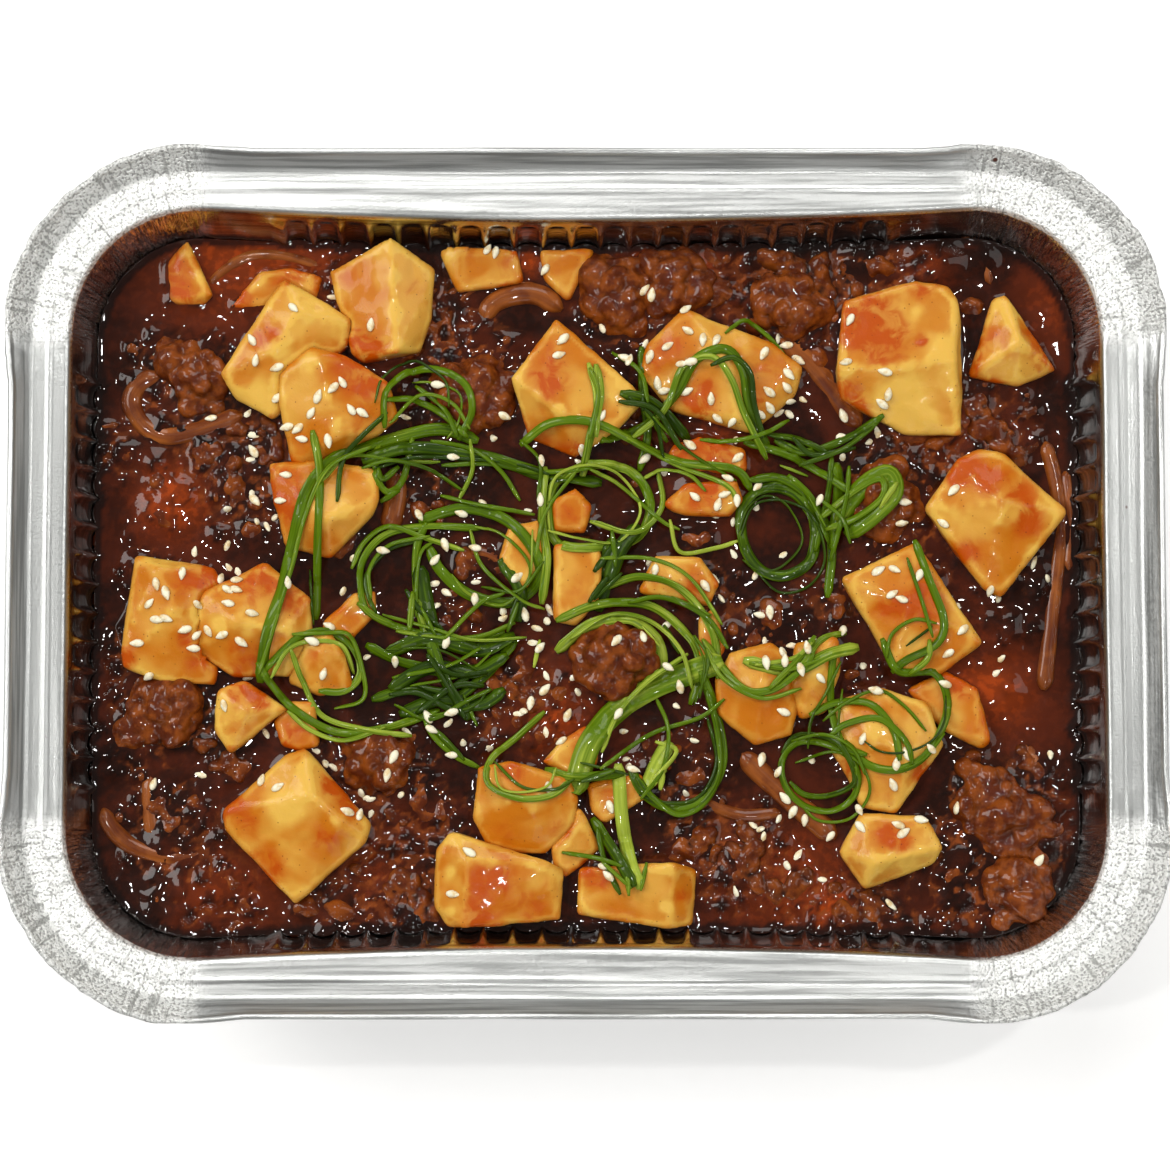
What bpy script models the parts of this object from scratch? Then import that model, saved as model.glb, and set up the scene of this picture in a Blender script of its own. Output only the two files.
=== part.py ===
"""A foil tray meal: tofu and minced meat in a dark sauce, with onion, shredded spring onion and sesame seeds.

Lengths are in metres, with +Z up. The origin is on the floor under the middle of the tray, +X runs along the tray and
+Y across it. Places on the food are readings of the picture, in its pixels, and at() turns them into metres.
"""

import math
import random

import bmesh
import bpy
import numpy as np
from mathutils import Matrix, Vector, geometry
from mathutils.bvhtree import BVHTree

MM = 0.001

# The picture: its scale at the food's height, and the reading over the tray's middle
PIXELS_PER_MM = 4.38
MIDDLE_READING = (586.0, 580.0)
FOOD_SHIFT = 1.2 * MM

# The tray
TRAY_HEIGHT = 50 * MM
FLANGE_HEIGHT = 46 * MM
FOIL = 0.3 * MM
CORNER_X = 88 * MM
CORNER_Y = 56 * MM
OPENING_RADIUS = 29 * MM
FLANGE_WIDTH = 7.9 * MM
LIP_WIDTH = 4.7 * MM
CORNER_FLARE = 1.2 * MM
FLARE_REACH = 12 * MM
SIDE_BOW = 2.6 * MM
BASE_BOW = 0.3
WALL_SLOPE = math.tan(math.radians(18))
FLUTE_STEP = 3.3 * MM
FLUTE_DEPTH = 1.4 * MM
FLUTE_TOP = 42 * MM
FLUTE_BOTTOM = 7 * MM
BASE_TUCK = 1.5 * MM
LONG_SIDE_STEPS = 42
SHORT_SIDE_STEPS = 28
CORNER_STEPS = 9
CRINKLE = 0.3 * MM

# The food
GAP = 0.3 * MM
SAUCE_LEVEL = 32 * MM
SAUCE_INSET = 0.95 * MM
SAUCE_FLOOR = 0.9 * MM
SAUCE_GRID = 13 * MM
SAUCE_MARGIN = 5 * MM
SAUCE_THINNING = 0.6
LUMP_SIDES = 5
CLUMP_DEPTH = 2.5 * MM
ONION_DEPTH = 2 * MM
ONION_STEP = 7 * MM
SEED_LENGTH = 3.3 * MM
SEED_WIDTH = 2.0 * MM
SEED_HEIGHT = 1.0 * MM
SEED_SINK = 0.2 * MM
SEED_CLEARANCE = 2.3 * MM
STRIP_THICKNESS = 0.9 * MM
STRIP_STEP = 8 * MM
STRIP_CLEARANCE = 0.4 * MM
STRIP_LIFTS = (0.0, 0.25, 0.5, 0.1, 0.35)
SHRED_AREA = (240, 320, 980, 910)
BLANKET_STEP = 2 * MM
BLANKET_REACH = 3
MERGE_DISTANCE = 0.005 * MM

# Tofu pieces, upper ones first: how far each reaches below the sauce's surface, in mm, and its visible corners as
# readings across and down, with the height above the sauce in mm
TOFU = [
    (15, [(312, 350, 7.5), (281, 375, 6), (280, 402, 5.5), (292, 463, 2.5), (305, 465, 2), (340, 438, 7),
          (322, 358, 9), (345, 358, 8), (388, 385, 6.5), (397, 418, 4.5), (378, 433, 4)]),
    (15, [(283, 280, 6), (300, 312, 8), (276, 352, 7.5), (221, 374, 5), (236, 398, 3), (272, 418, 3),
          (350, 320, 5.5), (346, 342, 4)]),
    (15, [(392, 234, 5.5), (330, 270, 4), (352, 352, 4), (361, 360, 3), (397, 355, 8), (391, 240, 8.5),
          (432, 268, 4.5), (430, 315, 3.5), (418, 350, 3.5)]),
    (12, [(556, 321, 6.5), (512, 379, 5.5), (562, 414, 7.5), (618, 428, 6), (641, 402, 5.5), (633, 388, 6.5),
          (530, 435, 1), (575, 456, 1)]),
    (12, [(685, 310, 6), (648, 345, 4.5), (640, 372, 3.5), (672, 408, 3), (752, 432, 3), (718, 352, 8.5),
          (742, 420, 6), (775, 346, 5.5), (802, 368, 4.5), (795, 395, 3)]),
    (16, [(845, 303, 7), (915, 283, 7), (948, 288, 6.5), (957, 302, 7), (953, 365, 9), (837, 372, 8.5),
          (842, 398, 5.5), (905, 432, 2.5), (961, 435, 3.5), (961, 320, 5)]),
    (14, [(1008, 294, 3.5), (997, 297, 3), (1019, 344, 8), (972, 374, 2), (1020, 383, 1.5), (1057, 368, 2)]),
    (16, [(980, 452, 5.5), (1003, 456, 6), (1064, 514, 6.5), (1000, 597, 3.5), (985, 590, 4), (925, 510, 5.5),
          (958, 462, 6.5), (1000, 505, 9)]),
    (15, [(915, 545, 6), (842, 580, 5.5), (893, 668, 4.5), (937, 675, 3.5), (979, 644, 5.5), (905, 605, 8)]),
    (16, [(308, 750, 6), (290, 757, 5.5), (228, 812, 5), (230, 830, 4.5), (298, 902, 3), (366, 842, 5.5),
          (372, 825, 4.5), (315, 795, 10), (345, 822, 8.5)]),
    (15, [(265, 566, 5.5), (205, 595, 5.5), (195, 610, 5), (192, 650, 3.5), (235, 676, 2.5), (290, 676, 2.5),
          (312, 640, 3.5), (310, 600, 4.5), (285, 580, 5.5), (240, 625, 8.5), (290, 632, 7)]),
    (15, [(138, 558, 5), (124, 655, 4.5), (127, 668, 4), (165, 682, 3.5), (215, 684, 2.5), (180, 610, 8.5),
          (160, 572, 8), (215, 570, 4.5), (230, 600, 3.5)]),
    (15, [(452, 832, 5), (438, 850, 4), (437, 905, 3), (450, 940, 2.5), (560, 918, 4), (562, 870, 5.5),
          (470, 860, 8), (545, 862, 7.5), (466, 925, 6)]),
    (14, [(580, 868, 5), (672, 864, 8), (694, 870, 3.5), (690, 925, 2), (668, 937, 4.5), (578, 912, 3.5)]),
    (14, [(480, 768, 6), (510, 762, 6.5), (568, 780, 6), (578, 800, 5.5), (572, 826, 4), (545, 852, 3),
          (492, 850, 2.5), (475, 818, 4.5), (530, 800, 8)]),
    (12, [(578, 806, 5), (552, 832, 4.5), (555, 872, 2.5), (565, 876, 2), (599, 848, 2.5), (587, 822, 4)]),
    (15, [(858, 815, 4), (922, 818, 4.5), (938, 848, 5), (930, 862, 3), (862, 888, 2), (838, 852, 3),
          (872, 862, 7.5), (925, 850, 6)]),
    (14, [(835, 702, 4), (880, 690, 5), (925, 705, 5), (940, 745, 5), (893, 812, 3.5), (860, 806, 3.5),
          (832, 750, 4), (870, 735, 8), (905, 760, 7.5)]),
    (12, [(908, 690, 1), (945, 674, 2.5), (975, 690, 3.5), (988, 742, 3), (980, 748, 1.5), (945, 732, 2)]),
    (10, [(795, 645, 5), (835, 640, 5.5), (838, 672, 4.5), (825, 712, 3), (800, 718, 3), (790, 690, 4),
          (815, 668, 7)]),
    (12, [(715, 680, 3), (730, 655, 4), (770, 645, 4.5), (795, 665, 4), (796, 700, 4), (790, 735, 3),
          (755, 745, 2.5), (718, 715, 2.5), (760, 690, 6.5)]),
    (12, [(270, 465, 3.5), (312, 460, 3), (378, 472, 4.5), (378, 500, 5.5), (372, 515, 5), (330, 558, 2.5),
          (285, 545, 2.5), (275, 500, 3.5), (330, 520, 7.5)]),
    (12, [(300, 637, 4.5), (330, 635, 5), (345, 655, 4.5), (353, 690, 2.5), (320, 695, 2.5), (290, 682, 2.5),
          (325, 655, 6)]),
    (9, [(325, 625, 3), (355, 595, 3.5), (375, 592, 3), (375, 615, 2.5), (350, 640, 2), (330, 640, 2.5)]),
    (12, [(220, 692, 4), (245, 683, 4), (288, 710, 4.5), (232, 753, 2.5), (217, 730, 3), (250, 712, 6)]),
    (10, [(275, 722, 2.5), (292, 702, 3.5), (315, 705, 3.5), (320, 745, 2.5), (300, 750, 2), (285, 745, 2)]),
    (12, [(229, 303, 1), (258, 270, 2.2), (290, 265, 2.5), (318, 275, 2), (312, 297, 1.5), (250, 305, 0.5)]),
    (12, [(183, 236, 3), (209, 292, 3), (200, 302, 0.5), (165, 300, 0.3), (160, 262, 0.3)]),
    (12, [(440, 243, 2), (455, 238, 3.5), (500, 240, 3), (516, 246, 2.5), (523, 278, 2), (458, 289, 2.5)]),
    (12, [(540, 243, 2.5), (592, 244, 3), (588, 258, 2), (568, 298, 2), (545, 275, 2)]),
    (9, [(585, 728, 3.5), (560, 745, 3.5), (545, 762, 3), (575, 776, 3.5), (595, 765, 3.5), (598, 735, 3.5)]),
    (9, [(588, 785, 3), (640, 775, 3.5), (650, 795, 2.5), (604, 822, 2), (592, 810, 2.5)]),
    (10, [(510, 527, 3.5), (538, 522, 4), (542, 560, 3.5), (525, 590, 2.5), (500, 560, 3)]),
    (12, [(555, 547, 4), (598, 545, 4.5), (602, 565, 4.5), (598, 600, 3.5), (575, 625, 2.5), (555, 620, 3)]),
    (12, [(655, 558, 4), (700, 560, 4), (718, 585, 3.5), (708, 605, 2.5), (640, 592, 3), (680, 580, 5)]),
    (10, [(685, 484, 3), (735, 480, 3.5), (742, 500, 3), (730, 515, 2.5), (685, 514, 2.5), (665, 505, 2)]),
    (10, [(675, 445, 3), (700, 438, 3.5), (745, 450, 3), (746, 470, 2.5), (700, 474, 2), (668, 460, 2.5)]),
    (9, [(553, 500, 2.5), (575, 490, 3), (590, 505, 2.5), (585, 532, 2), (555, 530, 2)]),
    (9, [(700, 618, 2.5), (715, 610, 3), (724, 650, 2.5), (712, 670, 2), (700, 660, 2)]),
]

# Clumps of minced meat: the balls that each is made of, as readings, with the radius and the top's height in mm
MINCE = [
    [(605, 268, 7, 5), (622, 300, 7.5, 5.5), (600, 295, 6, 4.5), (640, 262, 6, 4), (618, 322, 5, 3.5)],
    [(672, 272, 7.5, 5.5), (692, 290, 6, 4.5), (660, 290, 5.5, 4), (678, 255, 5, 3.5)],
    [(758, 295, 6, 4.5), (800, 310, 5.5, 4.5), (820, 308, 5, 4), (795, 288, 5, 3.5), (778, 300, 5, 3)],
    [(165, 345, 5, 3), (180, 362, 6, 4), (200, 380, 6.5, 4.5), (195, 395, 5.5, 3.5), (208, 368, 4.5, 4)],
    [(448, 385, 7, 4.5), (478, 378, 7, 5), (492, 398, 6, 4.5), (470, 408, 6, 4)],
    [(880, 480, 7.5, 4.5), (905, 510, 6.5, 4), (870, 518, 6.5, 3.5), (882, 500, 7, 5)],
    [(597, 655, 7, 6), (632, 652, 7, 6), (618, 680, 7, 5.5), (616, 650, 7.5, 7)],
    [(150, 700, 6.5, 4), (175, 702, 7.5, 5), (182, 722, 6, 4), (160, 722, 6, 3.5), (125, 730, 5, 3),
     (138, 716, 4.5, 2.5)],
    [(355, 745, 6, 3.5), (385, 752, 6.5, 4), (372, 772, 6, 3.5), (398, 770, 5, 3)],
    [(968, 775, 6.5, 4.5), (990, 790, 6.5, 5), (975, 815, 7, 5), (1010, 815, 6.5, 5), (1040, 825, 6.5, 5),
     (1035, 848, 6, 4), (1000, 838, 6, 4)],
    [(1000, 885, 6, 4), (1022, 880, 6.5, 5), (1028, 902, 6, 4), (1012, 912, 5, 3)],
]

# Strips of cooked onion: width in mm, how high each stands above the sauce, and its path in readings
ONION = [
    (3.4, 1.6, [(158, 372), (138, 380), (128, 398), (138, 420), (160, 434), (190, 430), (240, 412)]),
    (3.2, 2.0, [(105, 808), (112, 825), (128, 842), (150, 852), (180, 858), (205, 852)]),
    (4.2, 2.2, [(482, 318), (492, 300), (515, 290), (540, 291), (562, 306)]),
    (3.0, 1.4, [(1048, 440), (1058, 480), (1062, 530), (1056, 590), (1050, 640), (1044, 690)]),
    (5.0, 1.6, [(740, 752), (770, 782), (805, 812), (835, 838)]),
    (5.5, 1.6, [(782, 335), (815, 362), (845, 400), (862, 425)]),
    (5.0, 1.8, [(396, 468), (394, 500), (388, 532)]),
]

# Shreds of spring onion: width in mm and path in readings; a path that ends where it starts is a ring
SHREDS = [
    (3.6, [(262, 684), (270, 640), (284, 590), (295, 540), (310, 490), (340, 455), (385, 440), (440, 428), (478, 440)]),
    (2.4, [(313, 432), (321, 480), (318, 560), (316, 620)]),
    (2.2, [(266, 674), (283, 655), (303, 638), (330, 633), (354, 650), (361, 675), (345, 692), (320, 692)]),
    (2.4, [(260, 664), (274, 686), (298, 712), (340, 733), (390, 728), (440, 710)]),
    (2.2, [(385, 430), (386, 395), (408, 372), (438, 370), (465, 385), (472, 412), (458, 440)]),
    (2.0, [(385, 402), (412, 400), (440, 412), (468, 438)]),
    (2.0, [(378, 440), (376, 475), (388, 493), (403, 478), (412, 436)]),
    (4.0, [(362, 462), (405, 448), (455, 450), (500, 460), (545, 474), (602, 482)]),
    (2.4, [(368, 616), (362, 595), (362, 562), (384, 535), (424, 526), (480, 528)]),
    (2.4, [(358, 604), (380, 620), (420, 634), (462, 640), (505, 632)]),
    (3.4, [(418, 520), (465, 508), (505, 520), (532, 548), (540, 578), (512, 602), (470, 595), (440, 570), (428, 545)]),
    (2.6, [(426, 522), (417, 545), (416, 580), (422, 622), (440, 660)]),
    (3.2, [(366, 645), (400, 662), (450, 672), (492, 664), (516, 640)]),
    (3.0, [(372, 700), (410, 690), (450, 700), (480, 680), (505, 655)]),
    (2.2, [(425, 700), (430, 730), (455, 755), (480, 768)]),
    (2.2, [(545, 712), (520, 735), (492, 760), (490, 785), (520, 799), (552, 796), (572, 780)]),
    (2.6, [(596, 366), (600, 400), (590, 440), (582, 478)]),
    (2.4, [(642, 345), (643, 390), (648, 432), (640, 470)]),
    (2.8, [(600, 442), (645, 425), (676, 395), (696, 362), (725, 352), (742, 372), (750, 410), (770, 452)]),
    (2.6, [(520, 445), (550, 425), (590, 424), (630, 440), (680, 462), (735, 470), (752, 490)]),
    (2.8, [(560, 545), (548, 515), (556, 482), (590, 465), (630, 470), (650, 500), (640, 535), (600, 548), (560, 545)]),
    (2.6, [(545, 466), (542, 520), (547, 560), (542, 605)]),
    (4.6, [(612, 540), (606, 575), (598, 612)]),
    (3.4, [(556, 652), (590, 626), (630, 620), (656, 640), (662, 668), (652, 695)]),
    (2.6, [(556, 622), (600, 605), (650, 606), (688, 636), (700, 668), (690, 705)]),
    (2.4, [(600, 590), (640, 578), (682, 592), (712, 632), (718, 680)]),
    (3.2, [(745, 545), (743, 508), (765, 488), (795, 492), (815, 520), (812, 558), (788, 575), (762, 570), (745, 545)]),
    (2.6, [(750, 480), (782, 478), (812, 500), (832, 540), (828, 598)]),
    (3.4, [(838, 462), (840, 500), (832, 550)]),
    (4.2, [(838, 522), (862, 488), (888, 474), (894, 494), (872, 518), (846, 536)]),
    (2.4, [(744, 442), (792, 456), (824, 474), (852, 494)]),
    (2.4, [(884, 416), (850, 436), (806, 452), (775, 440)]),
    (2.6, [(913, 542), (926, 580), (941, 622), (934, 646), (904, 662), (890, 674)]),
    (2.4, [(880, 640), (896, 672), (932, 674), (946, 702), (938, 732), (918, 760), (890, 771), (862, 764), (842, 742)]),
    (2.0, [(782, 760), (800, 742), (832, 748), (854, 768), (852, 796), (830, 811), (802, 805), (784, 785), (782, 760)]),
    (2.2, [(832, 650), (829, 690), (832, 722), (842, 748), (864, 756)]),
    (2.2, [(808, 716), (835, 704), (868, 706), (890, 732), (896, 762)]),
    (3.0, [(742, 662), (790, 672), (828, 656), (858, 648)]),
    (2.6, [(702, 640), (738, 688), (768, 692), (798, 672), (812, 652)]),
    (5.4, [(574, 794), (590, 744), (620, 708), (662, 684), (722, 662)]),
    (3.0, [(700, 672), (716, 716), (722, 762), (704, 796), (672, 808), (644, 794), (630, 768)]),
    (3.2, [(618, 764), (622, 820), (630, 862), (640, 888)]),
    (3.4, [(592, 818), (614, 852), (634, 886)]),
    (3.0, [(545, 770), (575, 778), (624, 774)]),
]

# Sesame seeds, the ones that lie free of their neighbours, as readings
SEEDS = [
    (294, 310), (330, 292), (371, 326), (252, 341), (277, 369), (343, 385), (319, 399), (352, 412), (209, 417),
    (245, 413), (287, 428), (252, 434), (250, 455), (403, 417), (495, 250), (545, 267), (563, 341), (559, 357),
    (603, 325), (648, 292), (688, 332), (668, 347), (703, 342), (628, 359), (650, 357), (764, 355), (682, 367),
    (658, 383), (691, 391), (504, 416), (491, 437), (711, 400), (718, 419), (732, 423), (769, 400), (782, 340),
    (800, 358), (845, 365), (850, 322), (884, 375), (886, 398), (845, 414), (876, 435), (843, 458), (787, 388),
    (780, 413), (793, 413), (840, 434), (286, 476), (281, 502), (228, 510), (254, 498), (270, 520), (227, 547),
    (192, 553), (185, 576), (230, 568), (230, 592), (160, 587), (170, 596), (153, 606), (200, 607), (255, 616),
    (164, 621), (188, 632), (211, 633), (227, 638), (244, 644), (140, 645), (196, 650), (151, 677), (250, 679),
    (330, 627), (325, 675), (433, 560), (447, 593), (475, 548), (504, 613), (525, 615), (548, 612), (538, 630),
    (538, 645), (645, 458), (738, 458), (718, 505), (652, 572), (716, 577), (705, 587), (669, 625), (765, 615),
    (765, 665), (545, 690), (573, 680), (757, 508), (820, 501), (952, 493), (942, 525), (903, 515), (893, 572),
    (917, 578), (895, 600), (952, 600), (989, 592), (1036, 563), (1050, 579), (805, 650), (960, 632), (946, 655),
    (943, 685), (1000, 660), (994, 674), (873, 692), (227, 707), (266, 735), (203, 774), (155, 784), (282, 788),
    (265, 781), (319, 752), (395, 758), (389, 776), (364, 796), (400, 795), (362, 812), (407, 733), (452, 718),
    (452, 752), (491, 750), (522, 710), (531, 704), (547, 734), (568, 716), (562, 742), (618, 715), (622, 732),
    (627, 764), (693, 742), (675, 705), (685, 795), (610, 807), (471, 852), (455, 893), (553, 862), (606, 870),
    (549, 789), (734, 892), (758, 828), (762, 760), (778, 772), (782, 713), (811, 762), (782, 815), (804, 820),
    (829, 836), (858, 824), (895, 827), (918, 820), (797, 854), (784, 864), (823, 878), (890, 903), (955, 808),
    (890, 785), (893, 765), (927, 750), (1050, 753), (1036, 860),
]

# Smaller crumbs of meat that only hump the sauce: reading, radius and height in mm
CRUMBS = [
    (880, 262, 6, 2.6), (862, 262, 5, 2), (825, 268, 4.5, 2.4), (822, 285, 4, 2), (775, 248, 5, 2), (795, 262, 3.5, 1.5),
    (720, 285, 4.5, 1.8), (708, 250, 4, 1.6), (440, 345, 4.5, 2.2), (425, 312, 4, 2), (430, 322, 3.5, 1.6),
    (205, 452, 4, 2.2), (235, 485, 4, 1.8), (250, 530, 4.5, 1.8), (120, 450, 4, 1.6), (205, 338, 3, 1.2),
    (990, 420, 6, 2.6), (1005, 440, 5, 2), (975, 405, 4.5, 1.8), (825, 352, 4.5, 1.8), (975, 303, 4, 1.6),
    (155, 480, 4, 2.2), (160, 515, 5, 2), (175, 495, 4, 1.6), (940, 255, 6, 2.6), (225, 765, 5, 1.8), (240, 772, 4, 1.5),
    (423, 800, 5, 2), (435, 812, 4, 1.8), (340, 912, 4.5, 2.2), (400, 885, 5, 1.8), (425, 905, 4.5, 1.8),
    (308, 910, 3.5, 1.5), (190, 890, 7, 2.4), (225, 888, 5, 2), (165, 905, 4, 1.4), (245, 905, 3.5, 1.6),
    (705, 840, 6, 2.4), (685, 850, 4.5, 2), (745, 855, 5.5, 2.2), (765, 882, 4.5, 2), (735, 875, 3.5, 1.4),
    (795, 885, 5.5, 1.6), (845, 910, 5.5, 1.8), (872, 905, 4.5, 1.5), (505, 690, 6, 2.2), (535, 705, 5.5, 2),
    (520, 672, 4.5, 1.8), (545, 735, 4.5, 1.6), (670, 760, 6, 2), (690, 775, 5, 1.8), (770, 615, 5, 2),
    (755, 640, 4, 1.6), (1005, 630, 4, 1.6), (1030, 770, 5, 1.8), (950, 870, 3.5, 1.6), (962, 860, 3.5, 1.8),
    (500, 560, 6, 1.6), (470, 560, 5, 1.6), (440, 620, 5, 1.6), (700, 540, 5, 1.4), (155, 800, 4, 1.5),
    (175, 830, 5, 1.5), (195, 810, 4, 1.2), (345, 540, 4, 1.2), (560, 700, 4, 1.4),
]


def at(across, down, height=0.0):
    """Return the place in metres of a reading, with its height above the sauce in mm."""
    x = (across - MIDDLE_READING[0]) / PIXELS_PER_MM * MM
    y = (MIDDLE_READING[1] - down) / PIXELS_PER_MM * MM + FOOD_SHIFT
    return Vector((x, y, SAUCE_LEVEL + height * MM))


def finish(name, color, roughness, metallic=0.0, coat=0.0):
    """Return a new plain material."""
    material = bpy.data.materials.new(name)
    material.use_nodes = True
    shader = material.node_tree.nodes["Principled BSDF"]
    shader.inputs["Base Color"].default_value = (*color, 1.0)
    shader.inputs["Roughness"].default_value = roughness
    shader.inputs["Metallic"].default_value = metallic
    shader.inputs["Coat Weight"].default_value = coat
    material.diffuse_color = (*color, 1.0)
    return material


def add_object(name, shape):
    """Turn a bmesh into a named object in the scene, with its faces outward."""
    bmesh.ops.recalc_face_normals(shape, faces=shape.faces)
    mesh = bpy.data.meshes.new(name)
    shape.to_mesh(mesh)
    shape.free()
    item = bpy.data.objects.new(name, mesh)
    bpy.context.scene.collection.objects.link(item)
    return item


def hull(name, points):
    """Add the convex solid round some points."""
    shape = bmesh.new()
    for point in points:
        shape.verts.new(point)
    bmesh.ops.convex_hull(shape, input=shape.verts)
    inner = [corner for corner in shape.verts if not corner.link_faces]
    bmesh.ops.delete(shape, geom=inner, context="VERTS")
    bmesh.ops.remove_doubles(shape, verts=shape.verts, dist=MERGE_DISTANCE)
    return add_object(name, shape)


def room_for(item):
    """Add the convex solid round an object, a little larger than it all round."""
    points = [corner.co.copy() for corner in item.data.vertices]
    low = Vector([min(point[axis] for point in points) for axis in range(3)])
    high = Vector([max(point[axis] for point in points) for axis in range(3)])
    middle = (low + high) / 2
    half = (high - low) / 2
    scale = Vector([1 + 2 * GAP / half[axis] for axis in range(3)])
    return hull(item.name + "_room", [middle + (point - middle) * scale for point in points])


def remove(item):
    """Delete an object and its mesh."""
    mesh = item.data
    bpy.data.objects.remove(item)
    bpy.data.meshes.remove(mesh)


def combine(target, operation, others, solver="EXACT"):
    """Fuse the other objects with the target or cut them from it, and remove them."""
    if not others:
        return
    group = bpy.data.collections.new("operands")
    bpy.context.scene.collection.children.link(group)
    for other in others:
        bpy.context.scene.collection.objects.unlink(other)
        group.objects.link(other)
    modifier = target.modifiers.new("combine", "BOOLEAN")
    modifier.operation = operation
    modifier.operand_type = "COLLECTION"
    modifier.collection = group
    modifier.solver = solver
    bpy.context.view_layer.objects.active = target
    bpy.ops.object.modifier_apply(modifier=modifier.name)
    for other in others:
        remove(other)
    bpy.data.collections.remove(group)
    keep_main_body(target)


def thin_out(item, share):
    """Leave about a share of an object's triangles, where the form needs them."""
    modifier = item.modifiers.new("thin_out", "DECIMATE")
    modifier.ratio = share
    bpy.context.view_layer.objects.active = item
    bpy.ops.object.modifier_apply(modifier=modifier.name)
    keep_main_body(item)


def islands(shape):
    """Return the sets of corners that hang together."""
    left = set(shape.verts)
    found = []
    while left:
        start = left.pop()
        island = {start}
        edge = [start]
        while edge:
            corner = edge.pop()
            for side in corner.link_edges:
                other = side.other_vert(corner)
                if other in left:
                    left.discard(other)
                    island.add(other)
                    edge.append(other)
        found.append(island)
    return found


def keep_main_body(item):
    """Merge an object's touching corners and drop all but its largest body."""
    shape = bmesh.new()
    shape.from_mesh(item.data)
    bmesh.ops.remove_doubles(shape, verts=shape.verts, dist=MERGE_DISTANCE)
    bmesh.ops.dissolve_degenerate(shape, edges=shape.edges, dist=MERGE_DISTANCE)
    bodies = sorted(islands(shape), key=len)
    scraps = [corner for body in bodies[:-1] for corner in body]
    bmesh.ops.delete(shape, geom=scraps, context="VERTS")
    bmesh.ops.triangulate(shape, faces=shape.faces)
    bmesh.ops.recalc_face_normals(shape, faces=shape.faces)
    shape.to_mesh(item.data)
    shape.free()


def boxes_touch(first, second, margin=1.0 * MM):
    """Return whether the boxes round two objects come within the margin."""
    for axis in range(3):
        low_first = min(corner.co[axis] for corner in first.data.vertices)
        high_first = max(corner.co[axis] for corner in first.data.vertices)
        low_second = min(corner.co[axis] for corner in second.data.vertices)
        high_second = max(corner.co[axis] for corner in second.data.vertices)
        if low_first > high_second + margin or low_second > high_first + margin:
            return False
    return True


def tray_columns():
    """Return the upright lines that the tray's rings run through: (foot, way out, flute, corner crinkle)."""
    columns = []
    sides = [
        (Vector((CORNER_X, 0)), Vector((0, 1)), CORNER_Y, SHORT_SIDE_STEPS),
        (Vector((0, CORNER_Y)), Vector((-1, 0)), CORNER_X, LONG_SIDE_STEPS),
        (Vector((-CORNER_X, 0)), Vector((0, -1)), CORNER_Y, SHORT_SIDE_STEPS),
        (Vector((0, -CORNER_Y)), Vector((1, 0)), CORNER_X, LONG_SIDE_STEPS),
    ]
    for middle, along, half, steps in sides:
        out = Vector((along.y, -along.x))
        columns.append((middle - along * half, out, 0.0, 0.0))
        for step in range(steps + 1):
            flute = 1.0 if step % 2 else -1.0
            columns.append((middle + along * FLUTE_STEP * (step - steps / 2), out, flute, 0.0))
        columns.append((middle + along * half, out, 0.0, 0.0))
        for step in range(1, CORNER_STEPS):
            turn = Matrix.Rotation(math.radians(90) * step / CORNER_STEPS, 2)
            crinkle = 1.0 if step % 2 else -1.0
            columns.append((middle + along * half, turn @ out, 0.0, crinkle))
    return columns


def side_bow(across, height):
    """Return how far the long sides bend in at a place along them, which is most at the opening."""
    share = BASE_BOW + (1 - BASE_BOW) * height / FLANGE_HEIGHT
    return SIDE_BOW * share * (1 - (across / CORNER_X) ** 2)


def tray_point(column, spread, height, flute=0.0, crinkle=0.0, rise=0.0):
    """Return a point of the tray: how far outside the opening's edge it lies, and its height."""
    foot, out, flute_side, crinkle_side = column
    bows = abs(out.y) > 0.999 and spread <= 0.0
    reach = OPENING_RADIUS + spread + flute * flute_side + crinkle * crinkle_side
    reach -= side_bow(foot.x, height) if bows else 0.0
    place = foot + out * reach
    return Vector((place.x, place.y, height + rise * crinkle_side))


def corner_flare(column):
    """Return how far the lip stands out past its straight line, which it does round the corners."""
    foot, out, _, _ = column
    if abs(out.x) < 0.999 and abs(out.y) < 0.999:
        return CORNER_FLARE
    from_corner = CORNER_X - abs(foot.x) if abs(out.y) > 0.999 else CORNER_Y - abs(foot.y)
    return CORNER_FLARE * max(0.0, 1 - from_corner / FLARE_REACH)


def wall_spread(height):
    """Return how far outside the opening's edge the wall is at a height: less than nothing below the opening."""
    return -(FLANGE_HEIGHT - height) * WALL_SLOPE


def kept_inside(point):
    """Return the point, moved in where it would come too near the tray's wall."""
    inner = Vector((max(-CORNER_X, min(CORNER_X, point.x)), max(-CORNER_Y, min(CORNER_Y, point.y))))
    outward = point.xy - inner
    reach = OPENING_RADIUS + wall_spread(point.z) - SAUCE_INSET - FLUTE_DEPTH / 2 - CRINKLE
    if abs(outward.y) > abs(outward.x):
        reach -= side_bow(inner.x, point.z)
    if outward.length <= reach:
        return point
    place = inner + outward * (reach / outward.length)
    return Vector((place.x, place.y, point.z))


def add_rings(shape, rings):
    """Join rings of points, each the same length, into bands of faces, and return their corners."""
    corners = [[shape.verts.new(point) for point in ring] for ring in rings]
    count = len(rings[0])
    for upper, lower in zip(corners, corners[1:]):
        for index in range(count):
            following = (index + 1) % count
            shape.faces.new((upper[index], upper[following], lower[following], lower[index]))
    return corners


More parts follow.
